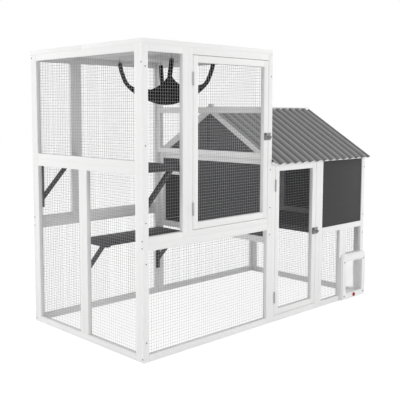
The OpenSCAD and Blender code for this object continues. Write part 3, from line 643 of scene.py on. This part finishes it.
def skin_tube(name: str, rings: Sequence[Sequence[Vector]], along: Sequence[float],
              girth: float) -> Piece:
    """Skins a tube over rings of points and maps it in metres.

    Args:
        name: The new piece's name.
        rings: The points of each ring.
        along: How far along the tube each ring lies. One more length than there are rings
            closes the tube on itself, and otherwise it has a cap on each end.
        girth: The way round the tube.

    Returns:
        The tube.
    """
    tube = add_shape(bpy.ops.mesh.primitive_cylinder_add, name)
    mesh = bmesh.new()
    uv = mesh.loops.layers.uv.new("UVMap")
    hoops = [[mesh.verts.new(point) for point in ring] for ring in rings]
    sides = len(hoops[0])
    closed = len(along) > len(rings)
    caps = [] if closed else [hoops[0][::-1], hoops[-1]]
    if closed:
        hoops.append(hoops[0])
    for i, (ring, after) in enumerate(zip(hoops, hoops[1:])):
        for k in range(sides):
            j = (k + 1) % sides
            face = mesh.faces.new((ring[k], ring[j], after[j], after[k]))
            for corner, (step, turn) in zip(face.loops, (
                    (i, k), (i, k + 1), (i + 1, k + 1), (i + 1, k))):
                corner[uv].uv = (along[step], girth * turn / sides)
    for cap in caps:
        mesh.faces.new(cap)
    bmesh.ops.recalc_face_normals(mesh, faces=mesh.faces)
    mesh.to_mesh(tube.data)
    mesh.free()
    return tube


def lay_grain(piece: Piece, seed: int) -> None:
    """Maps each board of a piece in metres with U along it, and gives it its own tone.

    Args:
        piece: A mesh of one or more separate boards.
        seed: Where the boards' own offsets start.
    """
    chance = random.Random(seed)
    mesh = bmesh.new()
    mesh.from_mesh(piece.data)
    uv = mesh.loops.layers.uv.verify()
    tone = mesh.verts.layers.float.new("board_tone")
    for part in islands(mesh):
        lo = [min(v.co[i] for v in part) for i in range(3)]
        hi = [max(v.co[i] for v in part) for i in range(3)]
        order = sorted(range(3), key=lambda i: hi[i] - lo[i], reverse=True)
        shift = (chance.uniform(0, 40), chance.uniform(0, 4))
        own = chance.random()
        for vert in part:
            vert[tone] = own
        for face in {f for v in part for f in v.link_faces}:
            steep = max(range(3), key=lambda i: abs(face.normal[i]))
            across = order[1] if steep != order[1] else order[2]
            for loop in face.loops:
                co = loop.vert.co
                loop[uv].uv = (co[order[0]] + shift[0], co[across] + shift[1])
    mesh.to_mesh(piece.data)
    mesh.free()


def saw_boards(node: str, name: str, ease: float) -> Piece:
    """Saws a board for each solid of a CAD node and eases its edges.

    Args:
        node: The node whose solids the boards stand for.
        name: The new piece's name.
        ease: How far each edge is rounded.

    Returns:
        The boards as one piece.
    """
    solids = solids_of(node)
    if not all(solid.is_box for solid in solids):
        return true_copy(node, name, ease)
    deselect()
    for i, solid in enumerate(solids):
        bpy.ops.mesh.primitive_cube_add(size=1.0, location=solid.centre, scale=solid.size)
        if i == 0:
            settle(bpy.context.active_object)
            bpy.ops.object.mode_set(mode="EDIT")
    bpy.ops.object.mode_set(mode="OBJECT")
    piece = bpy.context.active_object
    piece.name = piece.data.name = name
    ease_edges(piece, ease)
    return piece


def true_copy(node: str, name: str, ease: float, segments: int = 2) -> Piece:
    """Copies a CAD node's mesh, merges it and eases its edges.

    Args:
        node: The node to copy.
        name: The new piece's name.
        ease: How far each sharp edge is rounded.
        segments: How many faces round each edge.

    Returns:
        The new piece.
    """
    piece = place_new(name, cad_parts[node].data.copy())
    piece.data.name = name
    edit(piece)
    bpy.ops.mesh.remove_doubles(threshold=MERGE_REACH)
    bpy.ops.mesh.dissolve_limited(angle_limit=math.radians(0.5))
    bpy.ops.object.mode_set(mode="OBJECT")
    ease_edges(piece, ease, segments)
    return piece


def dress(piece: Piece, material: Material, replaces: Iterable[str] = (),
          body: Body = Body.ENCLOSURE) -> Piece:
    """Finishes a piece and hands it to its body.

    Args:
        piece: The finished mesh.
        material: Its material.
        replaces: The CAD nodes that it stands for.
        body: The body that it rides on.

    Returns:
        The piece.
    """
    piece.data.materials.clear()
    piece.data.materials.append(material)
    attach(piece, body.value)
    if replaces:
        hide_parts(*replaces)
    log.info("%s: %d faces on %s", piece.name, len(piece.data.polygons), body.value)
    return piece


# Sub-assemblies


@dataclass
class BoardSet:
    """The boards of one CAD node, sawn, eased and painted."""

    node: str
    piece: str
    body: Body = Body.ENCLOSURE
    ease: float = 0.0007

    def build(self, finish: Material, slot: Slot, seed: int) -> Piece:
        """Saws and paints the boards."""
        boards = saw_boards(self.node, self.piece, self.ease)
        lay_grain(boards, seed)
        return dress(boards, finish, [self.node], self.body)


def still_frames(*stems: str) -> tuple[BoardSet, ...]:
    """Returns the boards of each frame that doesn't move, by the start of its name."""
    return tuple(BoardSet(f"{stem}_frame", f"{stem}_boards") for stem in stems)


@dataclass
class Joinery:
    """Every painted timber piece of the enclosure."""

    white_sets: tuple[BoardSet, ...] = (
        *still_frames("left_lower", "left_upper", "front_lower", "front_bay"),
        BoardSet("tall_door_surround", "tall_door_surround_boards"),
        BoardSet("tall_door_frame", "tall_door_boards", Body.TALL_DOOR),
        *still_frames("back_lower", "back_bay", "back_wide", "side_upper"),
        BoardSet("top_deck_boards", "deck_boards", ease=0.001),
        *still_frames("porch"),
        BoardSet("narrow_door_frame", "narrow_door_boards", Body.NARROW_DOOR),
        *still_frames("nest_front", "house_back", "end_lower", "end_upper", "house_side"),
        BoardSet("gable_frames", "gable_boards"),
        BoardSet("ridge_beam", "ridge_beam_board"),
        BoardSet("ridge_board", "ridge_cap_board", ease=0.0012),
        BoardSet("eave_fillers", "eave_filler_strips", ease=0.0008),
    )
    dark_sets: tuple[BoardSet, ...] = (
        BoardSet("nest_front_panel", "nest_front_panel_board", ease=0.0008),
        BoardSet("house_back_panel", "house_back_panel_board", ease=0.0008),
        BoardSet("end_wall_panels", "end_wall_panel_boards", ease=0.0008),
        BoardSet("house_side_panels", "house_side_panel_boards", ease=0.0008),
        BoardSet("gable_panels", "gable_panel_boards", ease=0.0008),
        BoardSet("floor_bearers", "floor_bearer_boards"),
        BoardSet("house_floor", "house_floor_boards", ease=0.001),
        BoardSet("upper_shelf", "upper_shelf_board", ease=0.0016),
        BoardSet("lower_shelf", "lower_shelf_board", ease=0.0016),
        BoardSet("shelf_brackets", "shelf_bracket_bars"),
    )
    dark_seed: int = 100
    near_gable_x: float = 0.02
    rafter_corners: tuple[Point, ...] = (
        (-0.46671, 1.1329, -0.029),
        (0.46671, 1.1329, 0.0452),
        (0.0123, 1.4326, 0.0164),
    )
    corner_reach: float = 0.002

    def raise_near_rafters(self, boards: Piece) -> None:
        """Raises the near rafters over the ends of the roof sheets, the back one to the crests.

        Args:
            boards: The boards of both gables.
        """
        for vert in boards.data.vertices:
            for across, height, shift in self.rafter_corners:
                if (abs(vert.co.x) < self.near_gable_x
                        and abs(vert.co.y - across) < self.corner_reach
                        and abs(vert.co.z - height) < self.corner_reach):
                    vert.co.y += shift
                    break

    def build(self, finishes: Finishes) -> None:
        """Builds the white sets and then the dark ones."""
        for seed, boards in enumerate(self.white_sets):
            piece = boards.build(finishes.white, Slot.WHITE, seed)
            if boards.node == "gable_frames":
                self.raise_near_rafters(piece)
        for seed, boards in enumerate(self.dark_sets, self.dark_seed):
            boards.build(finishes.dark, Slot.DARK, seed)


@dataclass
class WireNets:
    """The welded wire mesh that fills the frames."""

    pitch: float = 0.018
    wire_r: float = 0.0006
    weld: float = 0.85
    sides: int = 6
    smooth_angle: float = 70.0
    turns: tuple[Point, ...] = (
        (0.0, math.pi / 2, 0.0), (math.pi / 2, 0.0, 0.0), (0.0, 0.0, 0.0))
    nets: tuple[str, ...] = (
        "left", "front", "tall_door", "back", "side_upper", "narrow_door", "nest_front",
        "house_back", "end_lower")
    doors: tuple[tuple[str, Body], ...] = (
        ("tall_door", Body.TALL_DOOR), ("narrow_door", Body.NARROW_DOOR))

    def row(self, solid: Solid, along: int, step: int, side: int) -> Piece:
        """Draws one wire of a net and repeats it across the net.

        Args:
            solid: The net's place.
            along: The axis that the wires follow.
            step: The axis that they are spaced along.
            side: The side of the net's middle that they lie on, -1 or 1.

        Returns:
            The row of wires as one piece.
        """
        span = solid.size[step] - 2 * self.wire_r
        gaps = max(1, round(span / self.pitch))
        middle = solid.centre.copy()
        middle[step] = solid.lo[step] + self.wire_r
        middle[3 - along - step] += side * self.wire_r * self.weld
        offset = [0.0, 0.0, 0.0]
        offset[step] = span / gaps
        wire = add_shape(bpy.ops.mesh.primitive_cylinder_add, vertices=self.sides,
                         radius=self.wire_r, depth=solid.size[along], location=middle,
                         rotation=self.turns[along])
        modify(wire, "ARRAY", count=gaps + 1, use_relative_offset=False,
               use_constant_offset=True, constant_offset_displace=offset)
        return wire

    def net(self, solid: Solid) -> list[Piece]:
        """Weaves both rows of wires of one net, each row on its side of the middle."""
        flat = min(range(3), key=lambda i: solid.size[i])
        wide, tall = [i for i in range(3) if i != flat]
        return [self.row(solid, tall, wide, -1), self.row(solid, wide, tall, 1)]

    def build(self, finishes: Finishes) -> None:
        """Builds each node's nets as one piece."""
        bodies = dict(self.doors)
        for stem in self.nets:
            node = f"{stem}_mesh"
            rows = [row for solid in solids_of(node) for row in self.net(solid)]
            piece = join_pieces(f"{stem}_wires", rows)
            smooth(piece, self.smooth_angle)
            dress(piece, finishes.wire, [node], bodies.get(stem, Body.ENCLOSURE))


@dataclass
class Roof:
    """The two corrugated sheets, laid from the eaves up to the ridge."""

    wave: float = 0.081
    depth: float = 0.014
    thickness: float = 0.0015
    crest_x: float = 1.049
    slope: float = 0.62
    steps: int = 16
    rows: int = 12
    smooth_angle: float = 50.0

    def sheet(self, node: str, name: str, rise: int) -> Piece:
        """Corrugates one sheet.

        Args:
            node: The CAD node whose place it takes.
            name: The new piece's name.
            rise: 1 where the sheet climbs towards the back, and -1 for the front.

        Returns:
            The sheet.
        """
        lo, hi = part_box(node)
        angle = math.atan(self.slope)
        inset = (self.depth + self.thickness) * math.sin(angle)
        base_y = lo.y + inset if rise > 0 else hi.y - inset
        length = (hi.y - lo.y - inset) / math.cos(angle)
        piece = add_shape(bpy.ops.mesh.primitive_grid_add, name, y_subdivisions=self.rows,
                          x_subdivisions=round((hi.x - lo.x) / self.wave * self.steps), size=1.0)
        # A point attribute, 1 on the crests and 0 in the valleys, that carries painted light and
        # painted shade into the roof's colour.
        crest_painted_light = piece.data.attributes.new("crest_painted_light", "FLOAT", "POINT")
        for vert in piece.data.vertices:
            x = lo.x + (vert.co.x + 0.5) * (hi.x - lo.x)
            up = (vert.co.y + 0.5) * length
            out = self.depth / 2 * (1 + math.cos(math.tau * (x - self.crest_x) / self.wave))
            crest_painted_light.data[vert.index].value = out / self.depth
            y = base_y + rise * (up * math.cos(angle) - out * math.sin(angle))
            vert.co = (x, y, lo.z + up * math.sin(angle) + out * math.cos(angle))
        edit(piece)
        bpy.ops.mesh.normals_make_consistent(inside=False)
        bpy.ops.object.mode_set(mode="OBJECT")
        if piece.data.polygons[0].normal.z < 0:
            piece.data.flip_normals()
        modify(piece, "SOLIDIFY", thickness=self.thickness, offset=1.0)
        smooth(piece, self.smooth_angle)
        return piece

    def build(self, finishes: Finishes) -> None:
        """Lays the front and the back sheet."""
        for node, name, rise in (("roof_front_sheet", "roof_front_corrugated", 1),
                                 ("roof_back_sheet", "roof_back_corrugated", -1)):
            dress(self.sheet(node, name, rise), finishes.roof, [node])


@dataclass
class CatFlap:
    """The flap's frames, its clear swinging panel and its lock knob."""

    def build(self, finishes: Finishes) -> None:
        """Moulds each part of the flap."""
        parts = (
            ("flap_outer_frame", "flap_outer_moulding", 0.0022, finishes.plastic,
             Slot.FLAP_FRAME, Body.ENCLOSURE),
            ("flap_inner_frame", "flap_tunnel_moulding", 0.0006, finishes.plastic,
             Slot.FLAP_FRAME, Body.ENCLOSURE),
            ("cat_flap", "flap_clear_panel", 0.0008, finishes.clear, Slot.CLEAR, Body.FLAP),
            ("lock_knob", "lock_knob_moulding", 0.0005, finishes.red, Slot.RED, Body.KNOB),
        )
        for node, name, ease, finish, slot, body in parts:
            dress(true_copy(node, name, ease, 3), finish, [node], body)


@dataclass
class Screws:
    """Low round-headed screws with a cross recess."""

    head_r: float = 0.004
    flap_head_r: float = 0.0056
    flap_corner: tuple[float, float] = (0.75, 0.36)
    head_h: float = 0.001
    head_ease: float = 0.00045
    shank_r: float = 0.002
    tip_r: float = 0.0002
    slot_w: float = 0.0011
    slot_spread: float = 1.1

    def head(self, out: Vector, shank: float, radius: float) -> Piece:
        """Turns one screw, with the middle of its head's underside at the origin.

        Args:
            out: The way that its head faces.
            shank: The length of its shank.
            radius: The radius of its head.

        Returns:
            The screw.
        """
        screw = add_shape(bpy.ops.mesh.primitive_cylinder_add, vertices=20, radius=radius,
                          depth=self.head_h, location=UP * self.head_h / 2)
        ease_edges(screw, self.head_ease)
        reach, width = self.head_r * self.slot_spread, self.slot_w * self.slot_spread
        bars = [add_shape(bpy.ops.mesh.primitive_cube_add, size=1.0, location=UP * self.head_h,
                          scale=(*plan, self.head_h))
                for plan in ((reach, width), (width, reach))]
        for bar in bars:
            modify(screw, "BOOLEAN", object=bar, operation="DIFFERENCE")
        for bar in bars:
            bpy.data.objects.remove(bar)
        rod = add_shape(bpy.ops.mesh.primitive_cone_add, vertices=12, radius1=self.tip_r,
                        radius2=self.shank_r, depth=shank, location=UP * -shank / 2)
        screw = join_pieces("screw", [screw, rod])
        screw.data.transform(UP.rotation_difference(out).to_matrix().to_4x4())
        return screw

    def build(self, finishes: Finishes) -> None:
        """Drives a screw for each solid of the node."""
        patterns: dict[tuple[int, float, float], Piece] = {}
        driven = []
        for solid in solids_of("screws"):
            axis = max(range(3), key=lambda i: solid.size[i])
            out = Vector([-1.0 if i == axis else 0.0 for i in range(3)])
            length = round(solid.size[axis] - self.head_h, 4)
            place = solid.centre.copy()
            place[axis] = solid.lo[axis] + self.head_h
            on_flap = place.x > self.flap_corner[0] and place.z < self.flap_corner[1]
            radius = self.flap_head_r if on_flap else self.head_r
            key = (axis, length, radius)
            if key not in patterns:
                patterns[key] = self.head(out, length, radius)
            driven.append(copy_of(patterns[key], place))
        for pattern in patterns.values():
            bpy.data.objects.remove(pattern)
        dress(join_pieces("screw_set", driven), finishes.steel, ["screws"])


@dataclass
class Hinges:
    """The butt hinges and the sliding latches, whose bolts end in black balls."""

    plates: tuple[tuple[str, str, float, Body], ...] = (
        ("hinge_frame_leaves", "frame_hinge_leaves", 0.0002, Body.ENCLOSURE),
        ("hinge_pins", "hinge_pin_set", 0.0005, Body.ENCLOSURE),
        ("tall_door_hinge_leaves", "tall_door_leaves", 0.0002, Body.TALL_DOOR),
        ("narrow_door_hinge_leaves", "narrow_door_leaves", 0.0002, Body.NARROW_DOOR),
        ("tall_door_latch", "tall_latch_plate", 0.0004, Body.TALL_DOOR),
        ("narrow_door_latch", "narrow_latch_plate", 0.0004, Body.NARROW_DOOR),
        ("latch_keepers", "latch_keeper_loops", 0.0004, Body.ENCLOSURE),
    )
    bolts: tuple[tuple[str, str, Body], ...] = (
        ("tall_door_bolt", "tall_latch_bolt", Body.TALL_BOLT),
        ("narrow_door_bolt", "narrow_latch_bolt", Body.NARROW_BOLT),
    )
    bolt_ease: float = 0.0005

    def bolt(self, node: str, name: str, body: Body, finishes: Finishes) -> None:
        """Finishes one bolt's rod in zinc and its ball in black plastic.

        Args:
            node: The CAD node of the bolt.
            name: The new rod's name.
            body: The body that the bolt rides on.
            finishes: Every material.
        """
        both = true_copy(node, name, self.bolt_ease, 3)
        edit(both)
        bpy.ops.mesh.separate(type="LOOSE")
        bpy.ops.object.mode_set(mode="OBJECT")
        loose = sorted(bpy.context.selected_objects,
                       key=lambda piece: min(v.co.z for v in piece.data.vertices))
        for piece, label, finish in zip(loose, (name, name + "_ball"),
                                        (finishes.dull_zinc, finishes.black)):
            piece.name = piece.data.name = label
            dress(piece, finish, [node], body)

    def build(self, finishes: Finishes) -> None:
        """Finishes the hinges and the latches."""
        for node, name, ease, body in self.plates:
            finish = finishes.zinc if "hinge" in node else finishes.dull_zinc
            dress(true_copy(node, name, ease), finish, [node], body)
        for node, name, body in self.bolts:
            self.bolt(node, name, body, finishes)


@dataclass
class Hammock:
    """The black hammock that hangs by padded straps from four hooks under the deck."""

    middle: Point = (-0.358, 0.081, 0.0)
    width: float = 0.344
    length: float = 0.456
    waist: float = 0.94
    top: float = 1.772
    drop: float = 0.322
    corner_drop: float = 0.165
    side_rim: float = 0.58
    end_rim: float = 0.68
    bowl: float = 0.55
    belly: float = 0.9
    tilt: float = 0.032
    ripple: float = 0.0016
    ripples: int = 9
    thickness: float = 0.003
    lift: float = 0.0025
    cuts: int = 48
    smooth_angle: float = 60.0
    strap_w: float = 0.032
    strap_t: float = 0.029
    strap_reach: tuple[float, ...] = (0.62, 0.69, 0.76, 0.83, 0.9, 0.96)
    strap_rise: float = 0.003
    strap_bow: float = 1.5
    strap_steps: int = 24
    pad_sides: int = 20
    crease: float = 0.035
    crease_every: int = 4
    seam: float = 0.07
    piping: float = 0.0065
    piping_sides: int = 12
    piping_steps: int = 28
    loop_r: tuple[float, float] = (0.0046, 0.0064)
    loop_drop: float = 0.0028
    loop_w: float = 0.012
    loop_t: float = 0.0014
    loop_ease: float = 0.00042
    loop_steps: int = 24
    hook_x: float = 0.189
    hook_y: float = 0.2635
    hook_r: float = 0.009
    hook_wire: float = 0.0017
    hook_z: float = 1.752
    hook_gap: float = 0.0002
    collar_r: float = 0.00374
    collar_h: float = 0.0016
    area_cuts: int = 40

    def at(self, u: float, v: float) -> Vector:
        """Returns the cloth's point at a share of its half width and half length."""
        bowl_u, bowl_v = (self.bowl * s ** 2 + (1 - self.bowl) * s ** 4 for s in (u, v))
        rim = 1 - (1 - self.side_rim) * (1 - bowl_v) - (1 - self.end_rim) * (1 - bowl_u)
        inside = max(0.0, (1 - u * u) * (1 - v * v))
        sag = (self.side_rim + self.end_rim - 1) * inside ** self.belly
        pull = ((self.drop - self.corner_drop) * (rim - sag)
                - self.tilt * (u + v) / 2 * abs(u * v))
        narrow_u, narrow_v = (self.waist + (1 - self.waist) * s * s for s in (v, u))
        ripple = (self.ripple * math.sin(self.ripples * math.atan2(v, u))
                  * max(abs(u), abs(v)) ** 3 * (1 - min(abs(u * v), 1.0)))
        return Vector((self.middle[0] + self.width / 2 * u * narrow_u,
                       self.middle[1] + self.length / 2 * v * narrow_v,
                       self.top - self.drop + pull + self.lift + ripple))

    def cloth(self) -> Piece:
        """Hangs the cloth between its corners."""
        piece = add_shape(bpy.ops.mesh.primitive_grid_add, "hammock_canvas", calc_uvs=True,
                          x_subdivisions=self.cuts, y_subdivisions=self.cuts, size=2.0)
        uv = piece.data.uv_layers.active.data
        for loop in piece.data.loops:
            flat = piece.data.vertices[loop.vertex_index].co
            uv[loop.index].uv = (flat.x * self.width / 2, flat.y * self.length / 2)
        for vert in piece.data.vertices:
            vert.co = self.at(vert.co.x, vert.co.y)
        modify(piece, "SOLIDIFY", thickness=self.thickness, offset=0.0)
        smooth(piece, self.smooth_angle)
        return piece

    def strap(self, sx: int, sy: int) -> Piece:
        """Sews one padded strap from a corner of the cloth up to its hook.

        Args:
            sx: The side of the cloth along X, -1 or 1.
            sy: The side of the cloth along Y, -1 or 1.

        Returns:
            The strap, gathered at both ends, with its loop through the hook's ring.
        """
        corner = self.at(sx, sy) + UP * self.strap_rise
        high = Vector((self.middle[0] + sx * self.hook_x, self.middle[1] + sy * self.hook_y,
                       self.hook_z - self.hook_r - self.hook_wire - self.hook_gap))
        way = high - corner
        plan = way.to_2d().normalized()
        path = [self.at(sx * share, sy * share) - UP * (self.strap_t / 2 * (0.85 - 0.6 * share))
                for share in self.strap_reach]
        for i in range(self.strap_steps + 1):
            climb = i / self.strap_steps
            reach = 1 - (1 - climb) ** self.strap_bow
            path.append(corner + Vector((way.x * reach, way.y * reach, way.z * climb)))
        pad = self.pad(path, Vector((-plan.y, plan.x, 0.0)))
        loop = self.loop(high + UP * self.hook_wire, Vector((1.0, -1.0, 0.0)).normalized())
        name = f"{'far' if sy > 0 else 'near'}_{'right' if sx > 0 else 'left'}"
        return join_pieces(f"hammock_strap_{name}", [pad, loop])

    def pad(self, path: Sequence[Vector], across: Vector) -> Piece:
        """Sweeps an oval pad along a path, with a sewn seam on each side and pinched ends.

        Args:
            path: The points along its middle.
            across: The way that its width lies.

        Returns:
            The pad.
        """
        rings = []
        last = len(path) - 1
        for i, place in enumerate(path):
            out = across.cross((path[min(i + 1, last)] - path[max(i - 1, 0)]).normalized())
            share = i / last
            swell = min(1.0, 0.45 + 5.0 * share, 0.86 + 4.0 * (1 - share))
            swell *= 1 - self.crease * (0.5 + 0.5 * math.cos(math.tau * i / self.crease_every))
            ring = []
            for turn in (math.tau * k / self.pad_sides for k in range(self.pad_sides)):
                seam = 1.0 - self.seam * max(0.0, math.cos(2 * turn)) ** 12
                ring.append(place + across * (self.strap_w / 2 * math.cos(turn) * swell * seam)
                            + out * (self.strap_t / 2 * math.sin(turn) * swell))
            rings.append(ring)
        pad = skin_tube("pad", rings, lengths_along(path),
                        math.pi * (self.strap_w + self.strap_t) / 2)
        modify(pad, "SUBSURF", levels=1)
        bpy.ops.object.shade_smooth()
        return pad

    def loop(self, foot: Vector, normal: Vector) -> Piece:
        """Passes a webbing loop round the lowest part of a hook's ring.

        Args:
            foot: The middle of the ring's wire at its lowest.
            normal: The way that the ring faces.

        Returns:
            The loop.
        """
        across = UP.cross(normal)
        path = [foot + normal * (self.loop_r[0] * math.sin(turn))
                - UP * (self.loop_drop + self.loop_r[1] * math.cos(turn))
                for turn in (math.tau * i / self.loop_steps for i in range(self.loop_steps + 1))]
        gone = lengths_along(path)
        piece = add_shape(bpy.ops.mesh.primitive_grid_add, "loop", calc_uvs=True,
                          x_subdivisions=self.loop_steps, y_subdivisions=2, size=1.0)
        uv = piece.data.uv_layers.active.data
        steps = [round((vert.co.x + 0.5) * self.loop_steps) for vert in piece.data.vertices]
        for corner in piece.data.loops:
            out = piece.data.vertices[corner.vertex_index].co.y * self.loop_w
            uv[corner.index].uv = (gone[steps[corner.vertex_index]], out)
        for vert, step in zip(piece.data.vertices, steps):
            vert.co = path[step] + across * (vert.co.y * self.loop_w)
        modify(piece, "SOLIDIFY", thickness=self.loop_t, offset=0.0)
        ease_edges(piece, self.loop_ease, 2, 50)
        return piece

    def hem(self) -> Piece:
        """Sews a padded piping round the cloth's edge, as one closed tube."""
        shares = [-1 + 2 * i / self.piping_steps for i in range(self.piping_steps)]
        rim = ([(s, -1.0) for s in shares] + [(1.0, s) for s in shares]
               + [(-s, 1.0) for s in shares] + [(-1.0, -s) for s in shares])
        path = [self.at(u, v) for u, v in rim]
        rings = []
        for before, place, after in zip(path[-1:] + path, path, path[1:] + path[:1]):
            along = (after - before).normalized()
            side = along.cross(UP).normalized()
            up = side.cross(along)
            rings.append([place + (side * math.cos(turn) + up * math.sin(turn)) * self.piping
                          for turn in (math.tau * k / self.piping_sides
                                       for k in range(self.piping_sides))])
        tube = skin_tube("hammock_hem", rings, lengths_along([*path, path[0]]),
                         math.tau * self.piping)
        pick(tube)
        bpy.ops.object.shade_smooth()
        return tube

    def hook(self, sx: int, sy: int) -> Piece:
        """Bends one ring hook and its stem into the deck."""
        x, y = self.middle[0] + sx * self.hook_x, self.middle[1] + sy * self.hook_y
        ring = add_shape(bpy.ops.mesh.primitive_torus_add, major_segments=32, minor_segments=10,
                         major_radius=self.hook_r, minor_radius=self.hook_wire,
                         location=(x, y, self.hook_z), rotation=(math.pi / 2, 0.0, math.pi / 4))
        stem_h = self.top - self.hook_z - self.hook_r
        rods = []
        for vertices, radius, height, ease in ((16, self.hook_wire, stem_h, 0.0004),
                                               (20, self.collar_r, self.collar_h, 0.0005)):
            rods.append(add_shape(bpy.ops.mesh.primitive_cylinder_add, vertices=vertices,
                                  radius=radius, depth=height,
                                  location=(x, y, self.top - height / 2)))
            ease_edges(rods[-1], ease)
        pick(ring)
        bpy.ops.object.shade_smooth()
        return join_pieces("hook", [ring, *rods])

    def build(self, finishes: Finishes) -> None:
        """Hangs the hammock."""
        corners = [(sx, sy) for sx in (-1, 1) for sy in (-1, 1)]
        cloth = dress(self.cloth(), finishes.cloth, ["hammock_cloth"])
        hem = dress(self.hem(), finishes.webbing)
        straps = [dress(self.strap(*corner), finishes.webbing, ["hammock_straps"])
                  for corner in corners]
        hooks = join_pieces("hammock_hook_set", [self.hook(*corner) for corner in corners])
        dress(hooks, finishes.zinc, ["hammock_hooks"])
        self.flat_area()

    def flat_area(self) -> float:
        """Returns the cloth's area, measured over its own shape."""
        n, total = self.area_cuts, 0.0
        grid = [[self.at(-1 + 2 * i / n, -1 + 2 * j / n) for j in range(n + 1)]
                for i in range(n + 1)]
        for i in range(n):
            for j in range(n):
                a, b = grid[i + 1][j] - grid[i][j], grid[i][j + 1] - grid[i][j]
                total += a.cross(b).length
        return total


# Studio


@dataclass
class Studio:
    """A white floor, an even light and the photograph's camera."""

    camera_at: Point = (-3.5402, -3.456, 1.404)
    heading: float = 43.41
    pitch: float = 5.66
    focal: float = 693.9
    frame_px: float = 400.0
    centre_px: tuple[float, float] = (183.5, 180.7)
    sensor: float = 36.0
    floor_glow: float = 0.92
    floor_bounce: float = 0.92
    daylight: float = 0.58
    lamp_size: float = 5.0
    lamps: tuple[tuple[str, Point, Point, float], ...] = (
        ("overhead", (0.2, 0.0, 6.2), (0.2, 0.0, 0.6), 20.0),
        ("front", (1.0, -9.4, 3.6), (0.0, 0.0, 0.9), 258.0),
        ("left", (-9.4, 1.0, 3.6), (0.0, 0.0, 0.9), 268.0),
        ("back", (-1.0, 9.4, 3.6), (0.0, 0.0, 0.9), 270.0),
        ("right", (9.4, -1.0, 3.6), (0.0, 0.0, 0.9), 270.0),
    )

    def floor(self) -> None:
        """Lays the floor, white to the camera under the object's shadow, and pale to the light."""
        floor = add_shape(bpy.ops.mesh.primitive_plane_add, "studio_floor", size=60.0,
                          location=(0.0, 0.0, -0.0005))
        material = bpy.data.materials.new("Studio floor")
        material.use_nodes = True
        sketch = Sketch(material.node_tree)
        shade = (1.0 - self.floor_glow) / self.daylight
        bounce, shadow = (sketch.add("BsdfDiffuse", {"Color": (grey, grey, grey, 1.0)})
                          for grey in (self.floor_bounce, shade))
        glow = sketch.add("Emission", {"Color": WHITE_LIGHT, "Strength": self.floor_glow})
        seen = sketch.add("AddShader", {0: glow.outputs[0], 1: shadow.outputs[0]})
        sketch.end("OutputMaterial", bounce, seen)
        floor.data.materials.append(material)

    def world(self) -> None:
        """Surrounds the scene with an even white light."""
        world = bpy.data.worlds.new("Studio")
        bpy.context.scene.world = world
        world.use_nodes = True
        sketch = Sketch(world.node_tree)
        sketch.end("OutputWorld",
                   *(sketch.add("Background", {"Color": WHITE_LIGHT, "Strength": strength})
                     for strength in (self.daylight, 1.0)))

    def stand(self, name: str, data: bpy.types.ID, place: Point, way: Vector) -> Piece:
        """Stands a lamp or a camera in its place.

        Args:
            name: Its name.
            data: The lamp's or the camera's own settings.
            place: Where it stands.
            way: The way that it looks.

        Returns:
            The lamp or the camera.
        """
        stood = place_new(name, data)
        stood.location = place
        stood.rotation_mode = "QUATERNION"
        stood.rotation_quaternion = way.to_track_quat("-Z", "Y")
        return stood

    def lamp(self, name: str, place: Point, aim: Point, power: float) -> None:
        """Hangs one soft lamp that points at a place, with a power in watts."""
        data = bpy.data.lights.new(name, "AREA")
        data.shape, data.size, data.energy = "SQUARE", self.lamp_size, power
        self.stand(name, data, place, Vector(aim) - Vector(place)).visible_camera = False

    def camera(self) -> None:
        """Sets the camera as the photograph's was."""
        data = bpy.data.cameras.new("photo_camera")
        data.sensor_width = self.sensor
        data.lens = self.focal / self.frame_px * self.sensor
        data.shift_x = 0.5 - self.centre_px[0] / self.frame_px
        data.shift_y = self.centre_px[1] / self.frame_px - 0.5
        yaw, pitch = math.radians(self.heading), math.radians(self.pitch)
        way = Vector((math.sin(yaw) * math.cos(pitch), math.cos(yaw) * math.cos(pitch),
                      -math.sin(pitch)))
        bpy.context.scene.camera = self.stand("photo_camera", data, self.camera_at, way)

    def build(self) -> None:
        """Sets up the whole studio."""
        self.floor()
        self.world()
        for lamp in self.lamps:
            self.lamp(*lamp)
        self.camera()
        bpy.context.scene.view_settings.view_transform = "Standard"


def main() -> None:
    """Builds the enclosure, piece by piece, and the studio round it."""
    logging.basicConfig(level=logging.INFO, format="%(name)s: %(message)s")
    finishes = Finishes.mix(SharedEffects.make())
    assemblies: tuple[tuple[str, Callable[[Finishes], None]], ...] = (
        ("joinery", Joinery().build),
        ("wire nets", WireNets().build),
        ("roof", Roof().build),
        ("cat flap", CatFlap().build),
        ("screws", Screws().build),
        ("hinges and latches", Hinges().build),
        ("hammock", Hammock().build),
    )
    for name, build in assemblies:
        log.info("building the %s", name)
        build(finishes)
    Studio().build()
    deselect()


if __name__ == "__main__":
    main()
